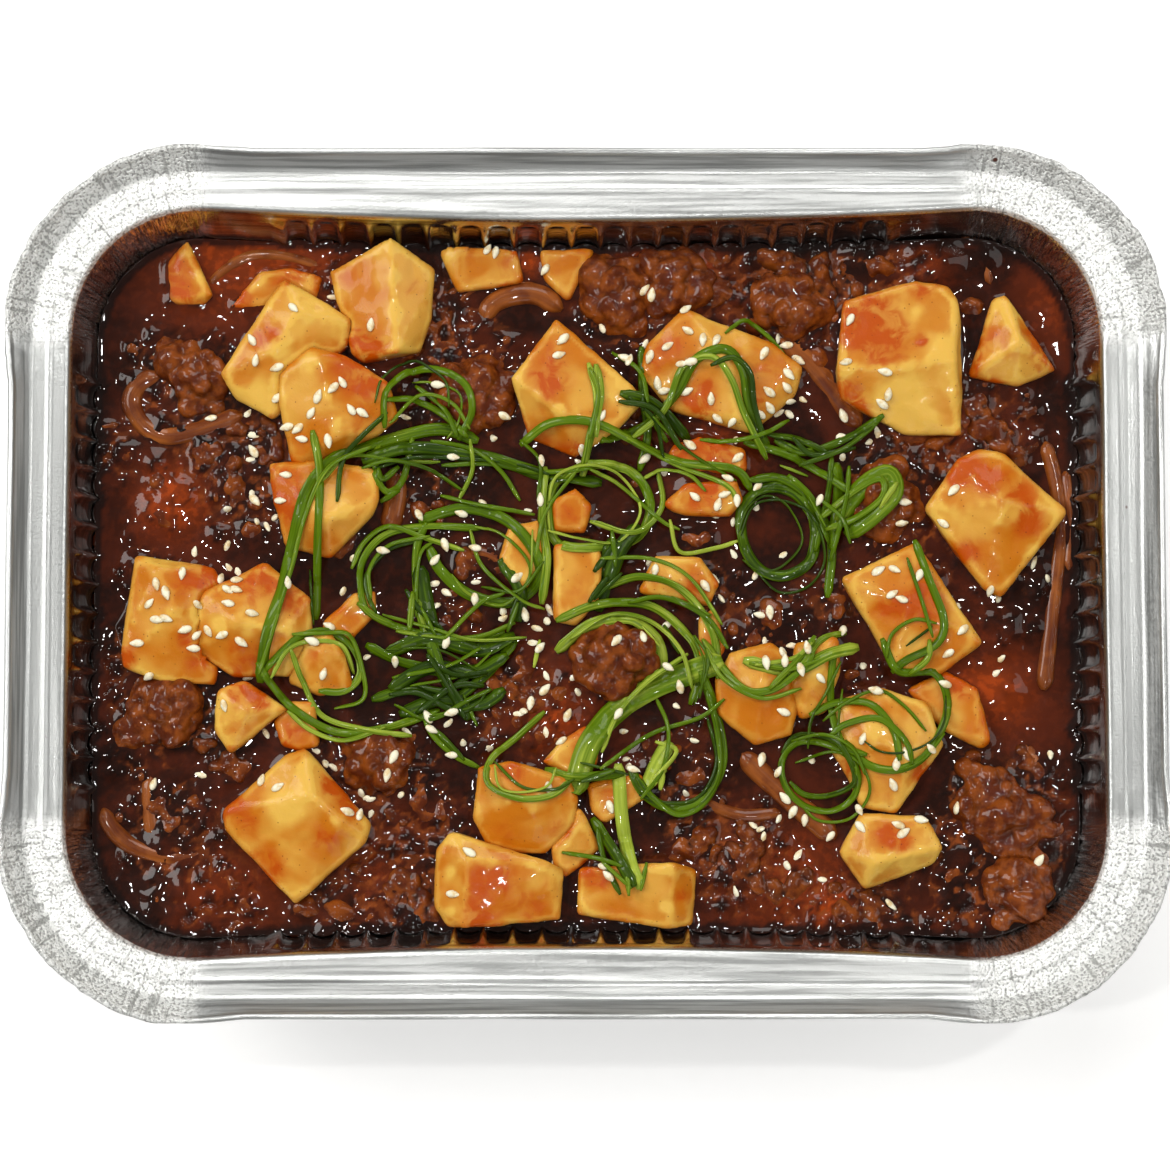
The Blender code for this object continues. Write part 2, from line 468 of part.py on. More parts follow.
def build_tray():
    """Add the foil tray: a sheet of rings from the lip to the base, thickened inward."""
    columns = tray_columns()
    lip_edge = [
        tray_point(column, FLANGE_WIDTH + LIP_WIDTH + corner_flare(column), TRAY_HEIGHT - FOIL,
                   crinkle=CRINKLE, rise=-CRINKLE)
        for column in columns
    ]
    lip_foot = [tray_point(column, FLANGE_WIDTH, FLANGE_HEIGHT, crinkle=-CRINKLE) for column in columns]
    opening = [tray_point(column, 0.0, FLANGE_HEIGHT) for column in columns]
    flute_top = [
        tray_point(column, wall_spread(FLUTE_TOP), FLUTE_TOP, FLUTE_DEPTH / 2, CRINKLE) for column in columns
    ]
    flute_bottom = [
        tray_point(column, wall_spread(FLUTE_BOTTOM), FLUTE_BOTTOM, FLUTE_DEPTH / 2, CRINKLE) for column in columns
    ]
    base_edge = [tray_point(column, wall_spread(0.0) - BASE_TUCK, 0.0) for column in columns]
    shape = bmesh.new()
    corners = add_rings(shape, [lip_edge, lip_foot, opening, flute_top, flute_bottom, base_edge])
    shape.faces.new(corners[-1])
    tray = add_object("foil_tray", shape)
    if tray.data.polygons[-1].normal.z > 0:
        tray.data.flip_normals()
    foil = tray.modifiers.new("foil", "SOLIDIFY")
    foil.thickness = FOIL
    foil.offset = -1.0
    return tray


def sauce_edge(height, flute=0.0, crinkle=0.0, tuck=0.0):
    """Return the ring of the sauce's side at a height, just inside the tray."""
    spread = wall_spread(height) - SAUCE_INSET - tuck
    return [tray_point(column, spread, height, flute, crinkle) for column in tray_columns()]


def near_piece(tree, place, margin):
    """Return whether a solid stands over a place, or within the margin of it."""
    shifts = [(0, 0), (margin, 0), (-margin, 0), (0, margin), (0, -margin)]
    return any(top_under(tree, place.xy + Vector(shift))[0] is not None for shift in shifts)


def sauce_swell(x, y):
    """Return the height of the sauce's slow swells above its level."""
    return (0.5 * math.sin(x * 71 + 1.3) * math.cos(y * 93 - 0.4) + 0.3 * math.sin(x * 140 - y * 118)) * MM


def build_sauce(pieces):
    """Add the sauce: it fills the tray, with humps over crumbs of meat where no piece stands."""
    tree = surface_tree(pieces)
    rim = sauce_edge(SAUCE_LEVEL, FLUTE_DEPTH / 2, CRINKLE)
    flat = [Vector((point.x, point.y)) for point in rim]
    heights = [point.z for point in rim]
    draw = random.Random(7)
    taken = []
    for across, down, radius, rise in CRUMBS:
        middle = at(across, down)
        if near_piece(tree, middle, 0.3 * radius * MM):
            continue
        taken.append((middle, radius * MM))
        flat.append(Vector((middle.x, middle.y)))
        heights.append(SAUCE_LEVEL + rise * MM)
        turn = draw.uniform(0, math.tau)
        for side in range(LUMP_SIDES):
            angle = turn + math.tau * side / LUMP_SIDES
            reach = radius * MM * draw.uniform(0.75, 1.1)
            place = middle + Vector((reach * math.cos(angle), reach * math.sin(angle), 0))
            if near_piece(tree, place, 0.0):
                continue
            flat.append(place.xy)
            heights.append(SAUCE_LEVEL + 0.2 * rise * MM)
    half_x = CORNER_X + OPENING_RADIUS + wall_spread(SAUCE_LEVEL) - SAUCE_MARGIN
    half_y = CORNER_Y + OPENING_RADIUS + wall_spread(SAUCE_LEVEL) - SIDE_BOW - SAUCE_MARGIN
    corner_reach = OPENING_RADIUS + wall_spread(SAUCE_LEVEL) - SAUCE_MARGIN
    columns = int(2 * half_x / SAUCE_GRID)
    rows = int(2 * half_y / SAUCE_GRID)
    for column in range(columns + 1):
        for row in range(rows + 1):
            x = -half_x + 2 * half_x * column / columns + draw.uniform(-0.2, 0.2) * SAUCE_GRID
            y = -half_y + 2 * half_y * row / rows + draw.uniform(-0.2, 0.2) * SAUCE_GRID
            beyond = Vector((max(0.0, abs(x) - CORNER_X), max(0.0, abs(y) - CORNER_Y)))
            crowded = any((Vector((x, y)) - middle.xy).length < radius + 0.3 * SAUCE_GRID for middle, radius in taken)
            if crowded or beyond.length > corner_reach or near_piece(tree, Vector((x, y, 0)), 1.0 * MM):
                continue
            flat.append(Vector((x, y)))
            heights.append(SAUCE_LEVEL + sauce_swell(x, y))
    count = len(rim)
    made = geometry.delaunay_2d_cdt(flat, [], [list(range(count))], 1, 1e-7)
    places, _, faces, sources = made[0], made[1], made[2], made[3]
    shape = bmesh.new()
    top = [shape.verts.new((*place, heights[source[0]])) for place, source in zip(places, sources)]
    for face in faces:
        shape.faces.new([top[index] for index in face])
    by_source = {source[0]: corner for corner, source in zip(top, sources)}
    upper = [by_source[index] for index in range(count)]
    lower = [shape.verts.new(point) for point in sauce_edge(SAUCE_FLOOR, tuck=BASE_TUCK)]
    for index in range(count):
        following = (index + 1) % count
        shape.faces.new((upper[index], upper[following], lower[following], lower[index]))
    shape.faces.new(lower)
    bmesh.ops.triangulate(shape, faces=[face for face in shape.faces if len(face.verts) > 3])
    return add_object("sauce", shape)


def build_tofu(number, depth, corners):
    """Add a tofu piece from its visible corners, carried down into the sauce."""
    tops = [at(*corner) for corner in corners]
    middle = sum((point.xy for point in tops), Vector((0, 0))) / len(tops)
    points = list(tops)
    for point in tops:
        foot = middle + (point.xy - middle) * 0.9
        points.append(Vector((foot.x, foot.y, SAUCE_LEVEL - depth * MM)))
    return hull(f"tofu_{number:02d}", [kept_inside(point) for point in points])


def ball_reach(start, way, middle, radius):
    """Return how far along a line from start a ball's far side is, or nothing where the line misses it."""
    along = (middle - start).dot(way)
    off = (start + way * along - middle).length
    return along + math.sqrt(radius * radius - off * off) if off < radius else 0.0


def build_clump(number, balls):
    """Add a clump of minced meat: a rough solid drawn out over a heap of balls, flat underneath."""
    draw = random.Random(100 + number)
    middles = [(at(across, down, top - radius), radius * MM) for across, down, radius, top in balls]
    start = sum((middle for middle, _ in middles), Vector()) / len(middles)
    nearest = min(middles, key=lambda ball: (ball[0] - start).length)
    if (nearest[0] - start).length > nearest[1] * 0.8:
        start = nearest[0]
    shape = bmesh.new()
    bmesh.ops.create_icosphere(shape, subdivisions=2, radius=1.0)
    for corner in shape.verts:
        way = corner.co.normalized()
        reach = max(ball_reach(start, way, middle, radius) for middle, radius in middles)
        corner.co = kept_inside(start + way * reach * draw.uniform(0.88, 1.04))
    everything = shape.verts[:] + shape.edges[:] + shape.faces[:]
    floor = Vector((0, 0, SAUCE_LEVEL - CLUMP_DEPTH))
    cut = bmesh.ops.bisect_plane(shape, geom=everything, plane_co=floor, plane_no=(0, 0, -1), clear_outer=True)
    rim = [piece for piece in cut["geom_cut"] if isinstance(piece, bmesh.types.BMEdge)]
    bmesh.ops.contextual_create(shape, geom=rim)
    bmesh.ops.triangulate(shape, faces=shape.faces)
    return add_object(f"mince_{number:02d}", shape)


def smooth_path(path, step):
    """Return points about a step apart on a smooth line through the path's points, and whether it closes."""
    closed = (path[0] - path[-1]).length < 1e-6
    knots = path[:-1] if closed else path
    count = len(knots)
    line = []
    spans = count if closed else count - 1
    for span in range(spans):
        if closed:
            a, b, c, d = (knots[(span + shift) % count] for shift in (-1, 0, 1, 2))
        else:
            b, c = knots[span], knots[span + 1]
            a = knots[span - 1] if span > 0 else b * 2 - c
            d = knots[span + 2] if span + 2 < count else c * 2 - b
        pieces = max(1, round((c - b).length / step))
        for piece in range(pieces):
            t = piece / pieces
            line.append((b * 2 + (c - a) * t + (a * 2 - b * 5 + c * 4 - d) * t * t
                         + (b * 3 - a - c * 3 + d) * t * t * t) * 0.5)
    if not closed:
        line.append(knots[-1])
    return line, closed


def add_strip(name, line, closed, width, thickness, bottoms, held=True):
    """Add a flat strip along a line: four corners at each station, with the given underside heights."""
    shape = bmesh.new()
    count = len(line)
    rings = []
    for index, point in enumerate(line):
        before = line[index - 1] if index > 0 or closed else line[0]
        after = line[(index + 1) % count] if index + 1 < count or closed else line[-1]
        along = (after - before).normalized()
        side = Vector((-along.y, along.x)) * width / 2
        if not closed and index in (0, count - 1):
            side = side * 0.45
        low = bottoms[index]
        left, right = point - side, point + side
        rings.append([
            shape.verts.new((left.x, left.y, low)),
            shape.verts.new((right.x, right.y, low)),
            shape.verts.new((right.x, right.y, low + thickness)),
            shape.verts.new((left.x, left.y, low + thickness)),
        ])
    pairs = list(zip(rings, rings[1:]))
    if closed:
        pairs.append((rings[-1], rings[0]))
    else:
        shape.faces.new(rings[0])
        shape.faces.new(list(reversed(rings[-1])))
    for first, second in pairs:
        for corner in range(4):
            following = (corner + 1) % 4
            shape.faces.new((first[corner], first[following], second[following], second[corner]))
    for corner in shape.verts:
        if held:
            corner.co = kept_inside(corner.co)
    bmesh.ops.triangulate(shape, faces=shape.faces)
    return add_object(name, shape)


def build_onion(number, width, rise, path):
    """Add a strip of cooked onion, half sunk in the sauce, and the larger strip that makes room for it."""
    line, closed = smooth_path([at(*place).xy for place in path], ONION_STEP)
    height = rise * MM + ONION_DEPTH
    name = f"onion_{number:02d}"
    strip = add_strip(name, line, closed, width * MM, height, [SAUCE_LEVEL - ONION_DEPTH] * len(line))
    start = line[0] + (line[0] - line[1]).normalized() * 2 * GAP
    end = line[-1] + (line[-1] - line[-2]).normalized() * 2 * GAP
    longer = [start] + line[1:-1] + [end]
    low = [SAUCE_LEVEL - ONION_DEPTH - GAP] * len(line)
    room = add_strip(name + "_room", longer, closed, width * MM + 4 * GAP, height + MM, low, held=False)
    return strip, room


def surface_tree(items):
    """Return a search tree over the faces of several objects."""
    points = []
    faces = []
    for item in items:
        start = len(points)
        points.extend(corner.co.copy() for corner in item.data.vertices)
        faces.extend([start + index for index in face.vertices] for face in item.data.polygons)
    return BVHTree.FromPolygons(points, faces)


def top_under(tree, place):
    """Return where a line straight down meets the surface, and the way the surface faces."""
    point, normal, _, _ = tree.ray_cast(Vector((place.x, place.y, TRAY_HEIGHT * 2)), Vector((0, 0, -1)))
    return point, normal


def add_seeds(hosts, neighbours):
    """Fuse every second sesame seed to the host it lies on, where it is clear of every other solid."""
    trees = {solid: surface_tree([solid]) for solid in hosts + neighbours}
    draw = random.Random(11)
    seeds = {host: [] for host in hosts}
    for number, (across, down) in enumerate(SEEDS):
        if number % 2:
            continue
        place = at(across, down).xy
        turn = draw.uniform(0, math.pi)
        found = [(top_under(tree, place), solid) for solid, tree in trees.items()]
        found = [(hit, solid) for hit, solid in found if hit[0] is not None]
        if not found:
            continue
        (point, normal), host = max(found, key=lambda entry: entry[0][0].z)
        if normal.z < 0.5 or host in neighbours:
            continue
        others = [tree.find_nearest(point, SEED_CLEARANCE)[0] for solid, tree in trees.items() if solid is not host]
        if any(near is not None for near in others):
            continue
        shape = bmesh.new()
        for tip in ((0.5, 0, 0), (-0.5, 0, 0), (0.1, 0.5, 0), (0.1, -0.5, 0), (0.1, 0, 0.5), (0.1, 0, -0.5)):
            shape.verts.new(tip)
        bmesh.ops.convex_hull(shape, input=shape.verts)
        lean = Vector((0, 0, 1)).rotation_difference(normal).to_matrix().to_4x4()
        size = Matrix.Diagonal((SEED_LENGTH, SEED_WIDTH, SEED_HEIGHT, 1))
        lift = Matrix.Translation(point + normal * (SEED_HEIGHT / 2 - SEED_SINK))
        bmesh.ops.transform(shape, matrix=lift @ lean @ Matrix.Rotation(turn, 4, "Z") @ size, verts=shape.verts)
        seeds[host].append(add_object("seed", shape))
    for host, items in seeds.items():
        combine(host, "UNION", items)


def blanket(below):
    """Return a function for the height of a soft blanket laid over what is below the spring onion."""
    tree = surface_tree(below)
    low = at(SHRED_AREA[0], SHRED_AREA[3]).xy
    high = at(SHRED_AREA[2], SHRED_AREA[1]).xy
    columns = int((high.x - low.x) / BLANKET_STEP) + 1
    rows = int((high.y - low.y) / BLANKET_STEP) + 1
    tops = np.full((columns, rows), SAUCE_LEVEL)
    for column in range(columns):
        for row in range(rows):
            point = top_under(tree, low + Vector((column, row)) * BLANKET_STEP)[0]
            if point is not None:
                tops[column, row] = max(SAUCE_LEVEL, point.z)
    raised = spread_grid(tops, BLANKET_REACH, np.max)
    soft = spread_grid(raised, BLANKET_REACH - 1, np.mean)

    def height(place):
        column = min(max((place.x - low.x) / BLANKET_STEP, 0), columns - 1.001)
        row = min(max((place.y - low.y) / BLANKET_STEP, 0), rows - 1.001)
        left, under = int(column), int(row)
        across, up = column - left, row - under
        near = soft[left, under] * (1 - up) + soft[left, under + 1] * up
        far = soft[left + 1, under] * (1 - up) + soft[left + 1, under + 1] * up
        return near * (1 - across) + far * across

    return height


def spread_grid(grid, reach, rule):
    """Return the grid with each value replaced by the rule over its neighbours within reach."""
    wide = np.pad(grid, reach, mode="edge")
    shifts = [
        wide[reach + column:reach + column + grid.shape[0], reach + row:reach + row + grid.shape[1]]
        for column in range(-reach, reach + 1)
        for row in range(-reach, reach + 1)
        if column * column + row * row <= reach * reach + 1
    ]
    return rule(np.stack(shifts), axis=0)


def build_shreds(below):
    """Add the spring onion: strips laid over what is below them and fused where they cross."""
    height = blanket(below)
    strips = []
    for number, (width, path) in enumerate(SHREDS):
        line, closed = smooth_path([at(*place).xy for place in path], STRIP_STEP)
        lift = STRIP_CLEARANCE + STRIP_LIFTS[number % len(STRIP_LIFTS)] * MM
        bottoms = [height(place) + lift for place in line]
        strips.append(add_strip(f"shred_{number}", line, closed, width * MM, STRIP_THICKNESS, bottoms))
    tangle = strips[0]
    tangle.name = "spring_onion"
    combine(tangle, "UNION", strips[1:], solver="MANIFOLD")
    return tangle


def main():
    """Build every piece and give it its finish."""
    for item in list(bpy.data.objects):
        bpy.data.objects.remove(item)

    tray = build_tray()
    tofu = []
    for number, (depth, corners) in enumerate(TOFU, start=1):
        piece = build_tofu(number, depth, corners)
        combine(piece, "DIFFERENCE", [room_for(other) for other in tofu if boxes_touch(piece, other)])
        tofu.append(piece)
    mince = []
    for number, balls in enumerate(MINCE, start=1):
        clump = build_clump(number, balls)
        combine(clump, "DIFFERENCE", [room_for(other) for other in tofu + mince if boxes_touch(clump, other)])
        mince.append(clump)
    onion = []
    rooms = []
    for number, (width, rise, path) in enumerate(ONION, start=1):
        strip, room = build_onion(number, width, rise, path)
        rooms.append(room)
        combine(strip, "DIFFERENCE", [room_for(other) for other in tofu + mince + onion if boxes_touch(strip, other)])
        onion.append(strip)
    sauce = build_sauce(tofu + mince + onion)
    combine(sauce, "DIFFERENCE", rooms + [room_for(other) for other in tofu + mince])
    thin_out(sauce, SAUCE_THINNING)
    add_seeds(tofu + mince + [sauce], onion)
    shreds = build_shreds(tofu + mince + onion + [sauce])

    tray.data.materials.append(finish("foil", (0.78, 0.79, 0.80), 0.3, metallic=1.0))
    sauce.data.materials.append(finish("sauce", (0.10, 0.025, 0.008), 0.2, coat=1.0))
    shreds.data.materials.append(finish("spring_onion", (0.05, 0.20, 0.02), 0.35))
    for piece in tofu:
        piece.data.materials.append(finish(piece.name, (0.80, 0.42, 0.10), 0.4))
    for clump in mince:
        clump.data.materials.append(finish(clump.name, (0.19, 0.06, 0.025), 0.4))
    for strip in onion:
        strip.data.materials.append(finish(strip.name, (0.25, 0.10, 0.03), 0.25))


main()
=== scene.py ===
"""The looks of a foil tray meal: tofu and mince in a dark sauce, with onion, spring onion and sesame seeds.

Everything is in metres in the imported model's frame. Places on the food are readings of the reference picture,
in its pixels, and Reading.at() turns them into metres. Each class below makes one kind of thing and gives it
its finish.
"""

import logging
import math
import random
from dataclasses import dataclass, field
from enum import Enum

import bmesh
import bpy
import numpy as np
from mathutils import Matrix, Vector, noise
from mathutils.bvhtree import BVHTree


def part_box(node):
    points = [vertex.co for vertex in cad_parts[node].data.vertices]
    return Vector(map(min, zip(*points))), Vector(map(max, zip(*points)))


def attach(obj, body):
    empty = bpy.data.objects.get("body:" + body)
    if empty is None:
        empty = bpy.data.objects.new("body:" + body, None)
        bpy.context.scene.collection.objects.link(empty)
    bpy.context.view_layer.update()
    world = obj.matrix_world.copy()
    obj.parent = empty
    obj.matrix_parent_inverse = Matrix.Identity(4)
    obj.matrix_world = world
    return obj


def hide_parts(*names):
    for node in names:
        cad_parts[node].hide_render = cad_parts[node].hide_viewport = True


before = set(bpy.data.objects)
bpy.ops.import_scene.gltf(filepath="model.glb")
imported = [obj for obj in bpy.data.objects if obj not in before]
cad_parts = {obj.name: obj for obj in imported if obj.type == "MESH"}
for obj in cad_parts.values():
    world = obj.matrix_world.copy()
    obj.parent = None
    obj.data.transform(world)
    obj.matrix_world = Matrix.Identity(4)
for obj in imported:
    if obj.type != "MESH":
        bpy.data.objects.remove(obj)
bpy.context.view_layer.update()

MM = 0.001
BODY = "root"
ABOVE_ALL = 0.1
log = logging.getLogger("foil_tray_meal")

Colour = tuple[float, float, float]
Path = list[tuple[float, float]]


@dataclass(frozen=True)
class Reading:
    """How a reading of the picture, at the food's height, turns into a place."""

    pixels_per_mm: float = 4.38
    middle: tuple[float, float] = (586.0, 580.0)
    food_shift: float = 1.2 * MM

    def at(self, across: float, down: float) -> Vector:
        """Return the flat place of a reading.

        Args:
            across: pixels from the picture's left edge.
            down: pixels from its top edge.

        Returns:
            The place in the tray, in metres.
        """
        x = (across - self.middle[0]) / self.pixels_per_mm * MM
        y = (self.middle[1] - down) / self.pixels_per_mm * MM + self.food_shift
        return Vector((x, y))


READING = Reading()
SAUCE_LEVEL = 32 * MM


def shade(red: float, green: float, blue: float) -> Colour:
    """Return the linear colour of a tone named from 0 to 255, as it looks on a screen."""
    parts = [value / 255 for value in (red, green, blue)]
    return tuple(part / 12.92 if part <= 0.04045 else ((part + 0.055) / 1.055) ** 2.4 for part in parts)


def ease(value: np.ndarray | float, low: float, high: float) -> np.ndarray | float:
    """Return 0 below low, 1 above high, and a smooth step between."""
    share = np.clip((value - low) / (high - low), 0.0, 1.0)
    return share * share * (3 - 2 * share)


# Modelling helpers


def deselect() -> None:
    """Leave edit mode and select nothing."""
    if bpy.context.object and bpy.context.object.mode != "OBJECT":
        bpy.ops.object.mode_set(mode="OBJECT")
    bpy.ops.object.select_all(action="DESELECT")


def pick(piece: bpy.types.Object) -> None:
    """Select one object and make it the active one.

    Args:
        piece: the object.
    """
    deselect()
    piece.select_set(True)
    bpy.context.view_layer.objects.active = piece


def work(piece: bpy.types.Object, kind: str, **settings: object) -> None:
    """Add a modifier to a piece and apply it.

    Args:
        piece: the mesh object.
        kind: the modifier's type.
        settings: the modifier's values.
    """
    pick(piece)
    modifier = piece.modifiers.new(kind.lower(), kind)
    for name, value in settings.items():
        setattr(modifier, name, value)
    bpy.ops.object.modifier_apply(modifier=modifier.name)


def relief_texture(name: str, kind: str, size: float) -> bpy.types.Texture:
    """Return a solid texture for the Displace modifier, with features of about a size.

    Args:
        name: the texture's name, by which it is found again.
        kind: its type.
        size: the size of its features.

    Returns:
        The texture.
    """
    texture = bpy.data.textures.get(name) or bpy.data.textures.new(name, kind)
    texture.noise_scale = size
    if kind == "CLOUDS":
        texture.noise_depth = 2
    return texture


def roughen(piece: bpy.types.Object, kind: str, size: float, strength: float) -> None:
    """Push a piece's surface in and out by a solid texture.

    Args:
        piece: the mesh object.
        kind: CLOUDS for soft lumps, VORONOI for packed grains.
        size: the size of its features.
        strength: how far it moves the surface.
    """
    texture = relief_texture(f"{kind.lower()}_{size / MM:.1f}mm", kind, size)
    work(piece, "DISPLACE", texture=texture, texture_coords="LOCAL", strength=strength, mid_level=0.5)


def add_piece(name: str, shape: bmesh.types.BMesh) -> bpy.types.Object:
    """Turn a bmesh into a named object and free it.

    Args:
        name: the object's name.
        shape: the bmesh, which is freed.

    Returns:
        The new object.
    """
    mesh = bpy.data.meshes.new(name)
    shape.to_mesh(mesh)
    shape.free()
    piece = bpy.data.objects.new(name, mesh)
    bpy.context.scene.collection.objects.link(piece)
    return piece


def stamp(shape: bmesh.types.BMesh, pattern: bpy.types.Mesh, place: Matrix) -> None:
    """Add a copy of a small mesh to a shape, at a place.

    Args:
        shape: the bmesh that takes the copy.
        pattern: the mesh that is copied.
        place: where the copy goes, with its turn and size.
    """
    before = len(shape.verts)
    shape.from_mesh(pattern)
    shape.verts.ensure_lookup_table()
    bmesh.ops.transform(shape, matrix=place, verts=shape.verts[before:])


def join_rings(shape: bmesh.types.BMesh, rings: list[list[bmesh.types.BMVert]], closed: bool,
               size: tuple[float, float]) -> None:
    """Cover a row of rings with faces, and lay the shape's map along them.

    Args:
        shape: the bmesh that has the rings.
        rings: the rings, each a list of as many corners.
        closed: whether the last ring joins the first, or both ends are capped.
        size: how far the map goes from ring to ring, and from corner to corner.
    """
    layer = shape.loops.layers.uv.verify()
    if not closed:
        shape.faces.new(rings[0])
        shape.faces.new(list(reversed(rings[-1])))
    next_rings = rings[1:] + (rings[:1] if closed else [])
    for number, (first, second) in enumerate(zip(rings, next_rings)):
        for corner in range(len(first)):
            following = (corner + 1) % len(first)
            face = shape.faces.new((first[corner], first[following], second[following], second[corner]))
            spots = ((number, corner), (number, corner + 1), (number + 1, corner + 1), (number + 1, corner))
            for loop, (run, turn) in zip(face.loops, spots):
                loop[layer].uv = (run * size[0], turn * size[1])


def smooth_shaded(piece: bpy.types.Object) -> None:
    """Shade a piece's faces smooth."""
    piece.data.shade_smooth()


def set_values(mesh: bpy.types.Mesh, name: str, values: np.ndarray) -> None:
    """Store one number at each corner of a mesh, for its material to read."""
    layer = mesh.attributes.get(name) or mesh.attributes.new(name, "FLOAT", "POINT")
    layer.data.foreach_set("value", np.asarray(values, np.float32))


def places_of(mesh: bpy.types.Mesh) -> np.ndarray:
    """Return a mesh's corners, one row each.

    Args:
        mesh: the mesh.

    Returns:
        One row of three numbers for each corner.
    """
    flat = np.zeros(len(mesh.vertices) * 3, np.float32)
    mesh.vertices.foreach_get("co", flat)
    return flat.reshape(-1, 3)


def normals_of(mesh: bpy.types.Mesh) -> np.ndarray:
    """Return the way each corner of a mesh faces, one row each.

    Args:
        mesh: the mesh.

    Returns:
        One row of three numbers for each corner.
    """
    flat = np.zeros(len(mesh.vertices) * 3, np.float32)
    mesh.vertex_normals.foreach_get("vector", flat)
    return flat.reshape(-1, 3)


def standing_out(mesh: bpy.types.Mesh, passes: int) -> np.ndarray:
    """Return how far each corner stands out from its surroundings: ridges above nothing, hollows below.

    Args:
        mesh: the mesh.
        passes: how many rings of neighbours count as its surroundings.

    Returns:
        One distance in metres for each corner.
    """
    count = len(mesh.vertices)
    places = places_of(mesh).astype(float)
    ends = np.zeros(len(mesh.edges) * 2, np.int32)
    mesh.edges.foreach_get("vertices", ends)
    ends = ends.reshape(-1, 2)
    first = np.concatenate([ends[:, 0], ends[:, 1]])
    second = np.concatenate([ends[:, 1], ends[:, 0]])
    degree = np.maximum(np.bincount(first, minlength=count), 1)
    calm = places.copy()
    for _ in range(passes):
        for axis in range(3):
            total = np.bincount(first, weights=calm[second, axis], minlength=count)
            calm[:, axis] = (calm[:, axis] + total / degree) / 2
    return ((places - calm) * normals_of(mesh)).sum(axis=1)


def smooth_path(path: list[Vector], step: float) -> tuple[list[Vector], bool]:
    """Return points about a step apart on a smooth line through a path's points, and whether it closes.

    Args:
        path: the points that the line passes through.
        step: about how far apart the new points are.

    Returns:
        The new points, and True where the line ends where it starts.
    """
    closed = (path[0] - path[-1]).length < 1e-6
    knots = path[:-1] if closed else path
    count = len(knots)
    line = []
    for span in range(count if closed else count - 1):
        if closed:
            a, b, c, d = (knots[(span + shift) % count] for shift in (-1, 0, 1, 2))
        else:
            b, c = knots[span], knots[span + 1]
            a = knots[span - 1] if span > 0 else b * 2 - c
            d = knots[span + 2] if span + 2 < count else c * 2 - b
        pieces = max(1, round((c - b).length / step))
        for piece in range(pieces):
            t = piece / pieces
            line.append((b * 2 + (c - a) * t + (a * 2 - b * 5 + c * 4 - d) * t * t
                         + (b * 3 - a - c * 3 + d) * t * t * t) * 0.5)
    if not closed:
        line.append(knots[-1].copy())
    return line, closed


class Surface:
    """What lies under a place: a search tree over the faces of several pieces."""

    def __init__(self, pieces: list[bpy.types.Object]) -> None:
        """Gather the pieces' faces.

        Args:
            pieces: the objects that make the surface.
        """
        points = []
        faces = []
        for piece in pieces:
            start = len(points)
            points.extend(corner.co for corner in piece.data.vertices)
            faces.extend([start + index for index in face.vertices] for face in piece.data.polygons)
        self.tree = BVHTree.FromPolygons(points, faces)

    def under(self, place: Vector) -> tuple[Vector | None, Vector | None]:
        """Return where a line straight down meets the surface, and the way it faces there."""
        point, normal, _, _ = self.tree.ray_cast(Vector((place.x, place.y, ABOVE_ALL)), Vector((0, 0, -1)))
        return point, normal


@dataclass
class HeightMap:
    """Heights of what lies in the tray, on a square grid."""

    half_x: float
    half_y: float
    step: float = 0.8 * MM
    heights: np.ndarray = field(init=False)

    def __post_init__(self) -> None:
        """Start at the sauce's level."""
        self.columns = int(2 * self.half_x / self.step) + 1
        self.rows = int(2 * self.half_y / self.step) + 1
        self.heights = np.full((self.columns, self.rows), SAUCE_LEVEL)

    def place(self, column: int, row: int) -> Vector:
        """Return the flat place of a grid point."""
        return Vector((column * self.step - self.half_x, row * self.step - self.half_y))

    def read(self, surface: Surface) -> None:
        """Take each point's height from a surface.

        Args:
            surface: what the heights are read from.
        """
        for column in range(self.columns):
            for row in range(self.rows):
                point, _ = surface.under(self.place(column, row))
                if point is not None:
                    self.heights[column, row] = max(SAUCE_LEVEL - 3 * MM, point.z)

    def index(self, place: Vector) -> tuple[int, int]:
        """Return the grid point nearest to a place.

        Args:
            place: a flat place.

        Returns:
            The column and the row.
        """
        column = round((place.x + self.half_x) / self.step)
        row = round((place.y + self.half_y) / self.step)
        return min(max(column, 0), self.columns - 1), min(max(row, 0), self.rows - 1)

    def at(self, place: Vector) -> float:
        """Return the height at a place."""
        return float(self.heights[self.index(place)])


# Material helpers


